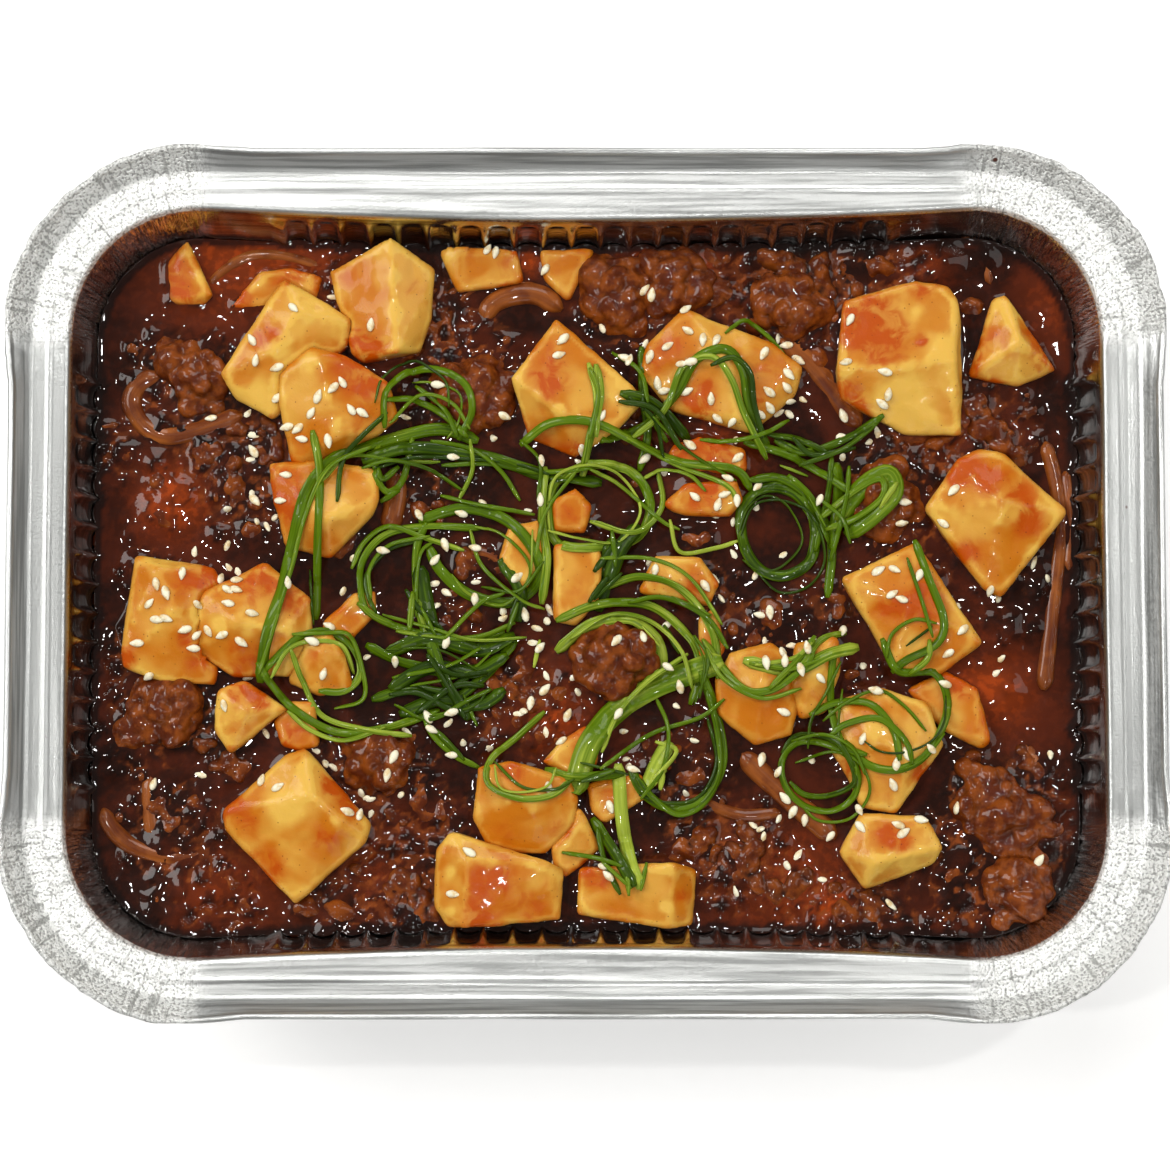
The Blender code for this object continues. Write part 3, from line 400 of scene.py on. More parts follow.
class Look:
    """A material's node tree round its Principled shader, with short ways to add to it."""

    def __init__(self, name: str, **values: object) -> None:
        """Start a material with plain values on the shader's own sockets.

        Args:
            name: the material's name.
            values: the shader's values, with _ for a space.
        """
        self.material = bpy.data.materials.new(name)
        self.material.use_nodes = True
        self.nodes = self.material.node_tree.nodes
        self.shader = self.nodes["Principled BSDF"]
        for socket, value in values.items():
            self.shader.inputs[socket.replace("_", " ")].default_value = value

    def add(self, kind: str, settings: dict | None = None, **inputs: object) -> bpy.types.Node:
        """Add a node.

        Args:
            kind: the node's type without its prefix.
            settings: values of the node itself.
            inputs: values or sockets for its inputs, with _ for a space.

        Returns:
            The node.
        """
        node = self.nodes.new("ShaderNode" + kind)
        for name, value in (settings or {}).items():
            setattr(node, name, value)
        for name, value in inputs.items():
            self.set(node.inputs[name.replace("_", " ")], value)
        return node

    def set(self, socket: bpy.types.NodeSocket, value: object) -> None:
        """Link a socket to another, or give it a value.

        Args:
            socket: the socket that is set.
            value: another socket, or a plain value.
        """
        if isinstance(value, bpy.types.NodeSocket):
            self.material.node_tree.links.new(value, socket)
        else:
            socket.default_value = value

    def give(self, socket: str, value: object) -> None:
        """Link one of the shader's own sockets."""
        self.set(self.shader.inputs[socket], value)

    def place(self, stretch: tuple[float, float, float] = (1, 1, 1),
              own_map: bool = False) -> bpy.types.NodeSocket:
        """Return the object's coordinates, or the piece's own map, stretched."""
        source = self.add("TexCoord").outputs["UV" if own_map else "Object"]
        return self.add("Mapping", Vector=source, Scale=stretch).outputs["Vector"]

    def stretched(self, along: float, across: float) -> bpy.types.NodeSocket:
        """Return the piece's own map, for features of two sizes along and across it."""
        return self.place((1 / along, 1 / across, 1), own_map=True)

    def grain(self, size: float, detail: float = 3, place: bpy.types.NodeSocket | None = None,
              warp: float = 0.0) -> bpy.types.NodeSocket:
        """Return a soft random value with features of about a size in metres.

        Args:
            size: the size of its features.
            detail: how many finer layers it has.
            place: the coordinates that it reads, or the object's own.
            warp: how far it is twisted.

        Returns:
            The value's socket.
        """
        found = place or self.place()
        node = self.add("TexNoise", Vector=found, Scale=1 / size, Detail=detail, Distortion=warp)
        return node.outputs["Fac"]

    def cells(self, size: float) -> bpy.types.NodeSocket:
        """Return the distance to the nearest of scattered points about a size apart."""
        return self.add("TexVoronoi", Vector=self.place(), Scale=1 / size).outputs["Distance"]

    def value(self, name: str) -> bpy.types.NodeSocket:
        """Return a number stored at the mesh's corners."""
        return self.add("Attribute", {"attribute_name": name}).outputs["Fac"]

    def scale(self, value: bpy.types.NodeSocket, low: float, high: float, start: float = 0.0,
              end: float = 1.0) -> bpy.types.NodeSocket:
        """Return a value moved from the range low to high into start to end."""
        inputs = {"Value": value, "From_Min": low, "From_Max": high, "To_Min": start, "To_Max": end}
        return self.add("MapRange", {"interpolation_type": "SMOOTHSTEP"}, **inputs).outputs["Result"]

    def sum(self, first: object, second: object, operation: str = "ADD") -> bpy.types.NodeSocket:
        """Return two values added, or joined by another operation, kept within 0 to 1.

        Args:
            first: a socket or a number.
            second: a socket or a number.
            operation: how they are joined.

        Returns:
            The result's socket.
        """
        node = self.add("Math", {"operation": operation, "use_clamp": True})
        self.set(node.inputs[0], first)
        self.set(node.inputs[1], second)
        return node.outputs[0]

    def mix(self, share: object, first: object, second: object) -> bpy.types.NodeSocket:
        """Return a colour between two.

        Args:
            share: how much of the second colour shows.
            first: the first colour, or its socket.
            second: the second colour, or its socket.

        Returns:
            The colour's socket.
        """
        node = self.add("Mix", {"data_type": "RGBA"})
        self.set(node.inputs[0], share)
        for socket, colour in ((node.inputs[6], first), (node.inputs[7], second)):
            self.set(socket, colour if isinstance(colour, bpy.types.NodeSocket) else (*colour, 1.0))
        return node.outputs[2]

    def bump(self, height: bpy.types.NodeSocket, distance: float, strength: float = 1.0,
             below: bpy.types.NodeSocket | None = None) -> bpy.types.NodeSocket:
        """Return normals bumped by a height.

        Args:
            height: the height's socket.
            distance: how high its relief is.
            strength: how much of it shows.
            below: normals that it is added to.

        Returns:
            The normals' socket.
        """
        node = self.add("Bump", Height=height, Distance=distance, Strength=strength)
        if below:
            self.set(node.inputs["Normal"], below)
        return node.outputs["Normal"]


@dataclass(frozen=True)
class FoilFinish:
    """Thin rolled aluminium: bright, with fine streaks along the rim, specks of sauce, and painted shade on the
    short sides and in the crumpled corners.
    """

    metal: Colour = shade(206, 208, 207)
    shaded: Colour = shade(160, 162, 161)
    white: Colour = shade(248, 249, 247)
    fold_shade_tone: Colour = shade(158, 159, 156)
    film: Colour = shade(72, 30, 9)
    streak_length: float = 34 * MM
    streak_width: float = 0.9 * MM
    pleat_width: float = 0.9 * MM
    pleat_length: float = 9 * MM
    crumple_size: float = 0.6 * MM

    def make(self) -> bpy.types.Material:
        """Return the material.

        Returns:
            The material.
        """
        look = Look("foil", Metallic=1.0, IOR=1.45)
        streaks = look.grain(1.0, 4, look.stretched(self.streak_length, self.streak_width))
        pleats = look.grain(1.0, 3, look.stretched(self.pleat_width, self.pleat_length))
        speckle = look.grain(self.crumple_size, 6)
        specks = look.sum(look.scale(look.cells(9 * MM), 0.05, 0.08, 1.0, 0.0), look.value("rim"), "MULTIPLY")
        dirty = look.sum(specks, look.scale(look.grain(20 * MM, 1), 0.52, 0.56), "MULTIPLY")
        straight = look.mix(look.scale(streaks, 0.36, 0.6), self.shaded, self.metal)
        # Painted shade: the flange of the short sides is mixed towards the shaded grey, as less light falls on
        # it there.
        shaded_short_sides = look.mix(look.scale(look.value("dull"), 0, 1, 0.0, 0.9), straight, self.shaded)
        # Painted shade: the crumpled corners darken where their crumple and pleat bumps dip, and more on the
        # lip.
        fold_and_lip_shade = look.sum(look.scale(speckle, 0.35, 0.52, 0.9, 0.0), look.scale(pleats, 0.32, 0.46, 0.6, 0.0))
        fold_and_lip_shade = look.sum(fold_and_lip_shade, look.scale(look.value("lip"), 0, 1, 0, 0.35))
        rim = look.mix(look.value("corner"), shaded_short_sides, look.mix(fold_and_lip_shade, self.white, self.fold_shade_tone))
        look.give("Base Color", look.mix(dirty, rim, self.film))
        crushed = look.sum(look.value("corner"), look.value("rim"), "MULTIPLY")
        dull = look.scale(look.value("rim"), 0.0, 1.0, 0.15, 0.34)
        look.give("Roughness", look.sum(dull, look.scale(speckle, 0.3, 0.7, -0.05, 0.06)))
        clean = look.scale(dirty, 0.0, 1.0, 1.0, 0.4)
        look.give("Metallic", look.sum(clean, look.scale(crushed, 0, 1, 0, 0.4), "SUBTRACT"))
        rolled = look.bump(streaks, 0.05 * MM, 0.7)
        wall = look.sum(1.0, look.value("rim"), "SUBTRACT")
        crimped = look.add("Bump", Height=pleats, Distance=1.1 * MM, Normal=rolled,
                           Strength=look.sum(look.value("corner"), wall, "MULTIPLY"))
        crumpled = look.add("Bump", Height=speckle, Distance=0.6 * MM, Normal=crimped.outputs["Normal"],
                            Strength=look.scale(crushed, 0.0, 1.0, 0.08, 0.85))
        look.give("Normal", crumpled.outputs["Normal"])
        return look.material


@dataclass(frozen=True)
class SauceFinish:
    """A dark glossy sauce: oily brown-red, thin and orange in places, with meat just under it and painted shade
    in its hollows.
    """

    deep: Colour = shade(30, 8, 2)
    black: Colour = shade(14, 4, 2)
    warm: Colour = shade(66, 23, 7)
    thin: Colour = shade(150, 58, 12)
    meat: Colour = shade(124, 60, 22)

    def make(self) -> bpy.types.Material:
        """Return the material.

        Returns:
            The material.
        """
        look = Look("sauce", Roughness=0.4, IOR=1.4, Coat_Weight=0.4, Coat_Roughness=0.03,
                    Specular_IOR_Level=0.06)
        broad = look.scale(look.grain(16 * MM, 3, warp=0.8), 0.38, 0.66)
        fine = look.scale(look.grain(2.0 * MM, 4), 0.42, 0.68)
        base = look.mix(look.sum(broad, look.scale(fine, 0, 1, 0.0, 0.25)), self.deep, self.warm)
        thinned = look.sum(look.value("thin"), look.scale(fine, 0, 1, 0.6, 1.0), "MULTIPLY")
        oily = look.mix(thinned, base, self.thin)
        meat = look.scale(look.value("meat"), 0.15, 0.8)
        meaty = look.sum(meat, look.scale(fine, 0, 1, 0.35, 1.0), "MULTIPLY")
        # Painted shade: the hollows between the lumps are mixed towards black.
        look.give("Base Color", look.mix(look.value("hollow"), look.mix(meaty, oily, self.meat), self.black))
        ruffled = look.scale(look.grain(13 * MM, 2), 0.5, 0.62, 0.08, 1.0)
        grit = look.add("Bump", Height=look.grain(0.7 * MM, 3), Distance=0.1 * MM, Strength=ruffled)
        look.give("Normal", look.bump(look.cells(2.2 * MM), 0.06 * MM, 0.3, grit.outputs["Normal"]))
        return look.material


@dataclass(frozen=True)
class TofuFinish:
    """Soft tofu: cream where the sauce has run off, amber where a film lies, orange-brown in the smears."""

    cream: Colour = shade(218, 172, 74)
    amber: Colour = shade(188, 108, 12)
    smear: Colour = shade(178, 74, 0)
    dark: Colour = shade(98, 36, 6)

    def make(self) -> bpy.types.Material:
        """Return the material.

        Returns:
            The material.
        """
        look = Look("tofu", Roughness=0.36, IOR=1.4, Specular_IOR_Level=0.2, Coat_Weight=0.14,
                    Coat_Roughness=0.06, Subsurface_Weight=0.1, Subsurface_Scale=1.3 * MM,
                    Subsurface_Radius=(1.0, 0.45, 0.12))
        broad = look.scale(look.grain(12 * MM, 2, warp=0.4), 0.32, 0.66)
        clean = look.sum(look.scale(look.value("edge"), 0.0, 0.9), look.scale(broad, 0, 1, 0.6, 0.0))
        base = look.mix(clean, self.amber, self.cream)
        streak = look.scale(look.grain(4.5 * MM, 4, warp=0.8), 0.3, 0.72)
        smeared = look.sum(look.value("smear"), look.scale(streak, 0, 1, 0.5, 1.1), "MULTIPLY")
        stained = look.mix(look.scale(smeared, 0.05, 0.9), base, self.smear)
        drowned = look.mix(look.scale(look.value("wet"), 0.35, 1.0), stained, self.dark)
        specks = look.scale(look.cells(1.7 * MM), 0.06, 0.13, 0.65, 0.0)
        rare = look.sum(specks, look.scale(look.grain(3 * MM, 2), 0.36, 0.52), "MULTIPLY")
        look.give("Base Color", look.mix(rare, drowned, self.dark))
        pores = look.bump(look.grain(0.6 * MM, 3), 0.06 * MM, 0.7)
        look.give("Normal", look.bump(look.grain(3 * MM, 3), 0.14 * MM, 0.6, pores))
        return look.material


@dataclass(frozen=True)
class MeatFinish:
    """Minced meat glazed by the sauce: brown grains, with painted shade between them, and darker towards the
    sauce.
    """

    name: str = "mince"
    light: Colour = shade(130, 64, 18)
    brown: Colour = shade(84, 33, 9)
    dark: Colour = shade(26, 8, 2)

    def make(self) -> bpy.types.Material:
        """Return the material.

        Returns:
            The material.
        """
        look = Look(self.name, Roughness=0.45, IOR=1.4, Specular_IOR_Level=0.08, Coat_Weight=0.4,
                    Coat_Roughness=0.05)
        patch = look.scale(look.grain(3 * MM, 4), 0.36, 0.66)
        base = look.mix(patch, self.brown, self.light)
        # Painted shade: the hollows between the grains, and the meat near the sauce, are mixed towards the dark
        # tone.
        look.give("Base Color", look.mix(look.value("hollow"), base, self.dark))
        look.give("Normal", look.bump(look.grain(0.6 * MM, 4), 0.1 * MM, 0.7))
        return look.material


@dataclass(frozen=True)
class OnionFinish:
    """Onion cooked soft and clear, brown from the sauce, with fine lines along it."""

    pale: Colour = shade(146, 80, 30)
    brown: Colour = shade(88, 36, 10)

    def make(self) -> bpy.types.Material:
        """Return the material.

        Returns:
            The material.
        """
        look = Look("onion", Roughness=0.35, IOR=1.4, Specular_IOR_Level=0.15, Coat_Weight=0.4,
                    Coat_Roughness=0.05)
        lines = look.grain(1.0, 4, look.place((60, 900, 1), own_map=True))
        patch = look.scale(look.grain(6 * MM, 3), 0.35, 0.65)
        tone = look.sum(look.scale(lines, 0.35, 0.7, 0, 0.6), look.scale(patch, 0, 1, 0, 0.5))
        look.give("Base Color", look.mix(tone, self.brown, self.pale))
        look.give("Normal", look.bump(lines, 0.08 * MM, 0.5))
        return look.material


@dataclass(frozen=True)
class GreenFinish:
    """Cut spring onion: dark to light green blades with fine lines along them."""

    dark: Colour = shade(34, 56, 0)
    middle: Colour = shade(80, 108, 0)
    light: Colour = shade(156, 172, 58)

    def make(self) -> bpy.types.Material:
        """Return the material.

        Returns:
            The material.
        """
        look = Look("spring_onion", Roughness=0.4, IOR=1.42, Specular_IOR_Level=0.12, Coat_Weight=0.25,
                    Coat_Roughness=0.05)
        lines = look.grain(1.0, 3, look.place((50, 6, 1), own_map=True))
        tone = look.sum(look.value("tone"), look.scale(lines, 0.3, 0.7, -0.16, 0.2))
        lower = look.mix(look.scale(tone, 0.0, 0.5), self.dark, self.middle)
        look.give("Base Color", look.mix(look.scale(tone, 0.5, 1.0), lower, self.light))
        look.give("Normal", look.bump(lines, 0.06 * MM, 0.5))
        return look.material


@dataclass(frozen=True)
class SeedFinish:
    """Hulled sesame: pale cream, a little darker towards the tip."""

    cream: Colour = shade(236, 230, 202)
    tan: Colour = shade(214, 190, 140)

    def make(self) -> bpy.types.Material:
        """Return the material.

        Returns:
            The material.
        """
        look = Look("sesame", Roughness=0.42, IOR=1.45, Coat_Weight=0.15)
        patch = look.scale(look.grain(1.6 * MM, 2), 0.45, 0.7)
        look.give("Base Color", look.mix(patch, self.cream, self.tan))
        look.give("Normal", look.bump(look.grain(0.35 * MM, 2), 0.02 * MM, 0.5))
        return look.material


# The studio


class Softness(Enum):
    """How large a lamp is, in metres."""

    BROAD = 0.8
    NARROW = 0.6
    TINY = 0.045


# The lamps: name, place in metres, size and watts
LAMPS = [
    ("left", (-1.35, 0.5, 1.4), Softness.BROAD, 18.0),
    ("right", (1.35, 0.3, 1.4), Softness.BROAD, 5.0),
    ("back", (0.1, 1.5, 1.4), Softness.BROAD, 11.0),
    ("front", (0.2, -1.5, 1.2), Softness.NARROW, 2.5),
    ("glint_back", (-0.2, 0.42, 1.2), Softness.TINY, 2.0),
    ("glint_left", (-0.5, -0.12, 1.15), Softness.TINY, 2.0),
    ("glint_right", (0.42, 0.2, 1.2), Softness.TINY, 2.0),
    ("glint_front", (0.1, -0.4, 1.2), Softness.TINY, 2.0),
]


@dataclass
class Studio:
    """A pale floor, soft light, and a camera that looks almost straight down, as the picture was taken."""

    distance: float = 0.75
    tilt: float = math.radians(5)
    lens: float = 102.7
    aim: tuple[float, float, float] = (-0.2 * MM, -1.1 * MM, 46 * MM)
    floor_half: float = 3.0
    overhead: float = 0.1
    walls: float = 0.28
    lamp_tone: Colour = (1.0, 0.985, 0.96)

    def add_camera(self) -> None:
        """Add the camera and make it the scene's."""
        lens = bpy.data.cameras.new("camera")
        lens.lens = self.lens
        lens.sensor_width = 36
        lens.clip_start = 0.01
        camera = bpy.data.objects.new("camera", lens)
        bpy.context.scene.collection.objects.link(camera)
        back = Vector((0, -math.sin(self.tilt), math.cos(self.tilt)))
        camera.location = Vector(self.aim) + back * self.distance
        camera.rotation_euler = (self.tilt, 0, 0)
        bpy.context.scene.camera = camera

    def add_floor(self) -> None:
        """Add the pale floor."""
        deselect()
        bpy.ops.mesh.primitive_plane_add(size=2 * self.floor_half, location=(0, 0, -0.2 * MM))
        floor = bpy.context.object
        floor.name = "floor"
        look = Look("pale_floor", Base_Color=(0.9, 0.9, 0.9, 1), Roughness=0.9, Emission_Strength=0.3,
                    Emission_Color=(1, 1, 1, 1))
        floor.data.materials.append(look.material)

    def add_lamp(self, name: str, place: tuple[float, float, float], size: Softness, power: float) -> None:
        """Add a square lamp that faces the tray.

        Args:
            name: the lamp's name.
            place: where it hangs.
            size: how large it is.
            power: its power in watts.
        """
        lamp = bpy.data.lights.new(name, "AREA")
        lamp.size = size.value
        lamp.energy = power
        lamp.color = self.lamp_tone
        item = bpy.data.objects.new(name, lamp)
        bpy.context.scene.collection.objects.link(item)
        item.location = place
        item.rotation_euler = (Vector((0, 0, 0.04)) - Vector(place)).to_track_quat("-Z", "Y").to_euler()

    def add_room(self) -> None:
        """Add the room's soft light: dim overhead, to keep wet things dark, bright towards the walls."""
        world = bpy.data.worlds.new("room")
        world.use_nodes = True
        nodes = world.node_tree.nodes
        join = world.node_tree.links.new
        way = nodes.new("ShaderNodeTexCoord")
        split = nodes.new("ShaderNodeSeparateXYZ")
        steps = nodes.new("ShaderNodeMapRange")
        join(way.outputs["Generated"], split.inputs["Vector"])
        join(split.outputs["Z"], steps.inputs["Value"])
        levels = {"From Min": 0.2, "From Max": 0.95, "To Min": self.walls, "To Max": self.overhead}
        for socket, value in levels.items():
            steps.inputs[socket].default_value = value
        nodes["Background"].inputs["Color"].default_value = (1.0, 0.99, 0.97, 1)
        join(steps.outputs["Result"], nodes["Background"].inputs["Strength"])
        bpy.context.scene.world = world

    def build(self) -> None:
        """Make the whole studio."""
        self.add_camera()
        self.add_floor()
        self.add_room()
        for lamp in LAMPS:
            self.add_lamp(*lamp)
        bpy.context.scene.view_settings.view_transform = "Standard"


# The tray

# Its section in mm. The rolled edge: how far in from the edge, and how far over the lip's top
ROLLED_EDGE = [(0.5, -0.75), (0.05, -0.55), (0, -0.1), (0.3, 0.18), (0.75, 0.1), (1.0, -0.4)]
# The flange and its crease: how far outside the opening, and how far over the flange's height
CREASED_FLANGE = [
    (8.1, 0.1), (7.5, 0.0), (6.6, 0.0), (5.6, 0.0), (4.7, 0.02), (4.4, 0.2), (4.1, 0.2), (3.8, 0.02),
    (2.9, 0.0), (1.9, 0.0), (1.0, 0.0), (0.4, -0.04), (0.08, -0.25), (-0.12, -0.75),
]
# The heights of the wall's rings, close together where the wall shows above the food
SHOWN_WALL = [45.0 - 0.75 * step for step in range(18)]
HIDDEN_WALL = [31.0 - 3 * step for step in range(9)] + [4.6, 2.6]
# The base with its raised panel: how far in from the wall's foot, and the height
PANELLED_BASE = [(-0.1, 1.2), (0.4, 0.35), (1.6, 0), (7, 0), (8, 0.5), (9.5, 0.5), (10.5, 0)]


@dataclass
class Column:
    """One upright line of the tray: its foot, the way out, how far round the rim, and what it carries."""

    foot: Vector
    out: Vector
    along: float
    flute: float
    corner: float


@dataclass
class FoilTray:
    """The tray: fluted walls, a creased flange, and a crimped lip that flares at the corners."""

    box: tuple[Vector, Vector]
    flange_height: float = 46 * MM
    foil: float = 0.25 * MM
    corner_x: float = 88 * MM
    corner_y: float = 56 * MM
    radius: float = 29 * MM
    flange: float = 7.9 * MM
    lip: float = 4.7 * MM
    flare: float = 1.2 * MM
    flare_reach: float = 12 * MM
    bow: float = 2.6 * MM
    base_bow: float = 0.3
    slope: float = math.tan(math.radians(18))
    pitch: float = 6.6 * MM
    flute_depth: float = 1.7 * MM
    flute_top: float = 43 * MM
    flute_bottom: float = 7 * MM
    tuck: float = 1.5 * MM
    long_flutes: int = 21
    short_flutes: int = 14
    flute_columns: int = 8
    corner_columns: int = 45
    plain_columns: int = 6

    def flute_at(self, share: float) -> float:
        """Return how far a flute stands out at a share of its pitch: a round scallop between sharp cusps."""
        return self.flute_depth * (math.sqrt(max(0.0, math.sin(math.pi * (share % 1.0)))) - 0.6)

    def columns(self) -> list[Column]:
        """Return the upright lines round the tray, anticlockwise from the lower end of its right side.

        Returns:
            The lines in order round the tray.
        """
        found = []
        along = 0.0
        sides = [
            (Vector((self.corner_x, 0)), Vector((0, 1)), self.corner_y, self.short_flutes),
            (Vector((0, self.corner_y)), Vector((-1, 0)), self.corner_x, self.long_flutes),
            (Vector((-self.corner_x, 0)), Vector((0, -1)), self.corner_y, self.short_flutes),
            (Vector((0, -self.corner_y)), Vector((1, 0)), self.corner_x, self.long_flutes),
        ]
        for middle, way, half, flutes in sides:
            out = Vector((way.y, -way.x))
            fluted = self.pitch * flutes / 2
            plain = (half - fluted) / self.plain_columns
            fine = self.pitch / self.flute_columns
            stops = [-half + plain * step for step in range(self.plain_columns)]
            stops += [-fluted + fine * step for step in range(flutes * self.flute_columns)]
            stops += [fluted + plain * step for step in range(self.plain_columns + 1)]
            for stop in stops:
                inside = abs(stop) <= fluted
                flute = self.flute_at((stop + fluted) / self.pitch) if inside else 0.0
                near = max(0.0, 1 - (half - abs(stop)) / self.flare_reach)
                found.append(Column(middle + way * stop, out, along + stop + half, flute, near))
            along += 2 * half
            for step in range(1, self.corner_columns):
                turn = Matrix.Rotation(math.radians(90) * step / self.corner_columns, 2)
                arc = math.radians(90) * step / self.corner_columns * self.radius
                found.append(Column(middle + way * half, turn @ out, along + arc, 0.0, 1.0))
            along += math.radians(90) * self.radius
        return found

    def bend(self, column: Column, height: float, spread: float) -> float:
        """Return how far a long side's wall bends in at a column.

        Args:
            column: the upright line.
            height: the height on it.
            spread: how far outside the opening the point is.

        Returns:
            The bend in metres.
        """
        if abs(column.out.y) < 0.999 or spread > self.flange / 2:
            return 0.0
        share = self.base_bow + (1 - self.base_bow) * height / self.flange_height
        fade = 1 - max(0.0, spread) / (self.flange / 2)
        return self.bow * share * fade * (1 - (column.foot.x / self.corner_x) ** 2)

    def wall_spread(self, height: float) -> float:
        """Return how far outside the opening's edge the wall is at a height."""
        return -(self.flange_height - height) * self.slope

    def profile(self) -> list[tuple[float, float]]:
        """Return the section from the lip's edge to the base: how far outside the opening, and the height.

        Returns:
            One pair for each ring of the tray, from the outside in.
        """
        top = self.flange_height + self.lip - 1.0 * MM
        edge = self.flange + self.lip
        rows = [(edge - spread * MM, top + lift * MM) for spread, lift in ROLLED_EDGE]
        for step in range(1, 7):
            share = step / 7
            rows.append((edge - 1.0 * MM - share * (self.lip - 1.4 * MM), top - 0.4 * MM - share * 3.2 * MM))
        for spread, lift in CREASED_FLANGE:
            rows.append((spread * MM, self.flange_height + lift * MM))
        for height in SHOWN_WALL + HIDDEN_WALL:
            tucked = max(0.0, 1 - height / 7) ** 2 * self.tuck
            rows.append((self.wall_spread(height * MM) - tucked, height * MM))
        foot = self.wall_spread(0.0) - self.tuck
        rows += [(foot - spread * MM, lift * MM) for spread, lift in PANELLED_BASE]
        return rows

    def crumple(self, column: Column, spread: float, height: float) -> tuple[float, float]:
        """Return how far a point is pushed out and up by the crumpled foil, most at the corners.

        Args:
            column: the upright line.
            spread: how far outside the opening the point is.
            height: the point's height.

        Returns:
            The push outwards and the push upwards.
        """
        lip = float(ease(spread, self.flange * 0.7, self.flange + self.lip))
        wall = float(ease(self.flange_height - height, 0.5 * MM, 5 * MM))
        pleat = noise.noise(Vector((column.along / (1.5 * MM), height / (16 * MM), 3.1)))
        fold = noise.noise(Vector((column.along / (3.4 * MM), spread / (5 * MM), 7.7)))
        soft = noise.noise(Vector((column.along / (28 * MM), spread / (6 * MM), 1.3)))
        fine = noise.noise(Vector((column.along / (1.1 * MM), spread / (1.4 * MM), 9.2)))
        corner = column.corner
        out = corner * (0.55 * wall * pleat + 0.5 * lip * fold + 0.25 * lip * fine) * MM + 0.12 * MM * soft
        flat = 1 - wall
        up = corner * flat * (0.3 * fold + (0.16 + 0.45 * lip) * fine) * MM + flat * 0.22 * MM * soft
        return out, up * (0.0 if height < 5 * MM else 1.0)

    def point(self, column: Column, spread: float, height: float) -> Vector:
        """Return the tray's point on a column, kept within the tray's box.

        Args:
            column: the upright line.
            spread: how far outside the opening the point is.
            height: its height before the foil is crumpled.

        Returns:
            The point.
        """
        rises = float(ease(height, self.flute_bottom, self.flute_bottom + 4 * MM))
        falls = 1 - float(ease(height, self.flute_top - 3 * MM, self.flute_top))
        lip = float(ease(spread, self.flange, self.flange + self.lip))
        out, up = self.crumple(column, spread, height)
        reach = self.radius + spread + column.flute * rises * falls + self.flare * lip * column.corner + out
        reach -= self.bend(column, height, spread)
        place = column.foot + column.out * reach
        low, high = self.box
        room = self.foil + 0.05 * MM
        return Vector((
            min(max(place.x, low.x + room), high.x - room),
            min(max(place.y, low.y + room), high.y - room),
            min(max(height + up, 0.0), high.z - room),
        ))

    def build(self) -> bpy.types.Object:
        """Return the tray: a sheet of rings from the lip to the base, with the foil's thickness.

        Returns:
            The tray, without a material.
        """
        columns = self.columns()
        rows = self.profile()
        shape = bmesh.new()
        layer = shape.loops.layers.uv.new("along_the_rim")
        corners = [[shape.verts.new(self.point(column, *row)) for column in columns] for row in rows]
        across = 0.0
        count = len(columns)
        for index, (upper, lower) in enumerate(zip(corners, corners[1:])):
            width = math.dist(rows[index], rows[index + 1])
            for column in range(count):
                following = (column + 1) % count
                face = shape.faces.new((upper[column], upper[following], lower[following], lower[column]))
                left = columns[column].along
                right = columns[following].along if following else left + self.pitch / self.flute_columns
                for loop, place in zip(face.loops, ((left, across), (right, across), (right, across + width),
                                                    (left, across + width))):
                    loop[layer].uv = place
            across += width
        shape.faces.new(corners[-1])
        tray = add_piece("crimped_tray", shape)
        if tray.data.polygons[-1].normal.z > 0:
            tray.data.flip_normals()
        work(tray, "SOLIDIFY", thickness=self.foil, offset=-1.0)
        return tray

    def dress(self, tray: bpy.types.Object) -> None:
        """Give the tray its foil, and store where its rim, its corners and its lip are, and the painted shade
        of its short sides.

        Args:
            tray: the tray's object.
        """
        places = places_of(tray.data)
        height = places[:, 2]
        set_values(tray.data, "rim", ease(height, 44.4 * MM, 45.6 * MM))
        short_side = np.abs(places[:, 0]) > self.corner_x + self.radius - 2 * MM
        ends = ease(np.abs(places[:, 0]), self.corner_x - 5 * MM, self.corner_x + 4 * MM)
        sides = ease(np.abs(places[:, 1]), self.corner_y - 5 * MM, self.corner_y + 4 * MM)
        set_values(tray.data, "corner", ends * sides)
        outer = np.abs(places[:, :2]) - (self.corner_x, self.corner_y)
        reach = np.hypot(*np.maximum(outer, 0).T) - self.radius
        lip = ease(reach, self.flange - 0.5 * MM, self.flange + 1.5 * MM)
        set_values(tray.data, "lip", lip)
        near_corner = ease(np.abs(places[:, 1]), self.corner_y - 8 * MM, self.corner_y + 8 * MM)
        # Painted shade: marks the flange of the short sides, away from the corners and off the lip, to be
        # darkened.
        set_values(tray.data, "dull", short_side * (1 - near_corner) * (1 - lip))
        tray.data.materials.append(FoilFinish().make())
        smooth_shaded(tray)

    def wall_at(self, place: Vector, height: float) -> tuple[Vector, Vector, float]:
        """Return how the wall stands to a flat place at a height.

        Args:
            place: the flat place.
            height: the height at which the wall is met.

        Returns:
            The place's foot inside the corner arcs, the way from it to the place, and how far the wall is.
        """
        foot = Vector((max(-self.corner_x, min(self.corner_x, place.x)),
                       max(-self.corner_y, min(self.corner_y, place.y))))
        outward = place - foot
        reach = self.radius + self.wall_spread(height)
        along_x = abs(outward.y) > abs(outward.x)
        if along_x:
            share = self.base_bow + (1 - self.base_bow) * height / self.flange_height
            reach -= self.bow * share * (1 - (foot.x / self.corner_x) ** 2)
        half = self.pitch * (self.long_flutes if along_x else self.short_flutes) / 2
        run = place.x if along_x else place.y
        if abs(run) < half:
            reach += self.flute_at((run + half) / self.pitch)
        return foot, outward, reach

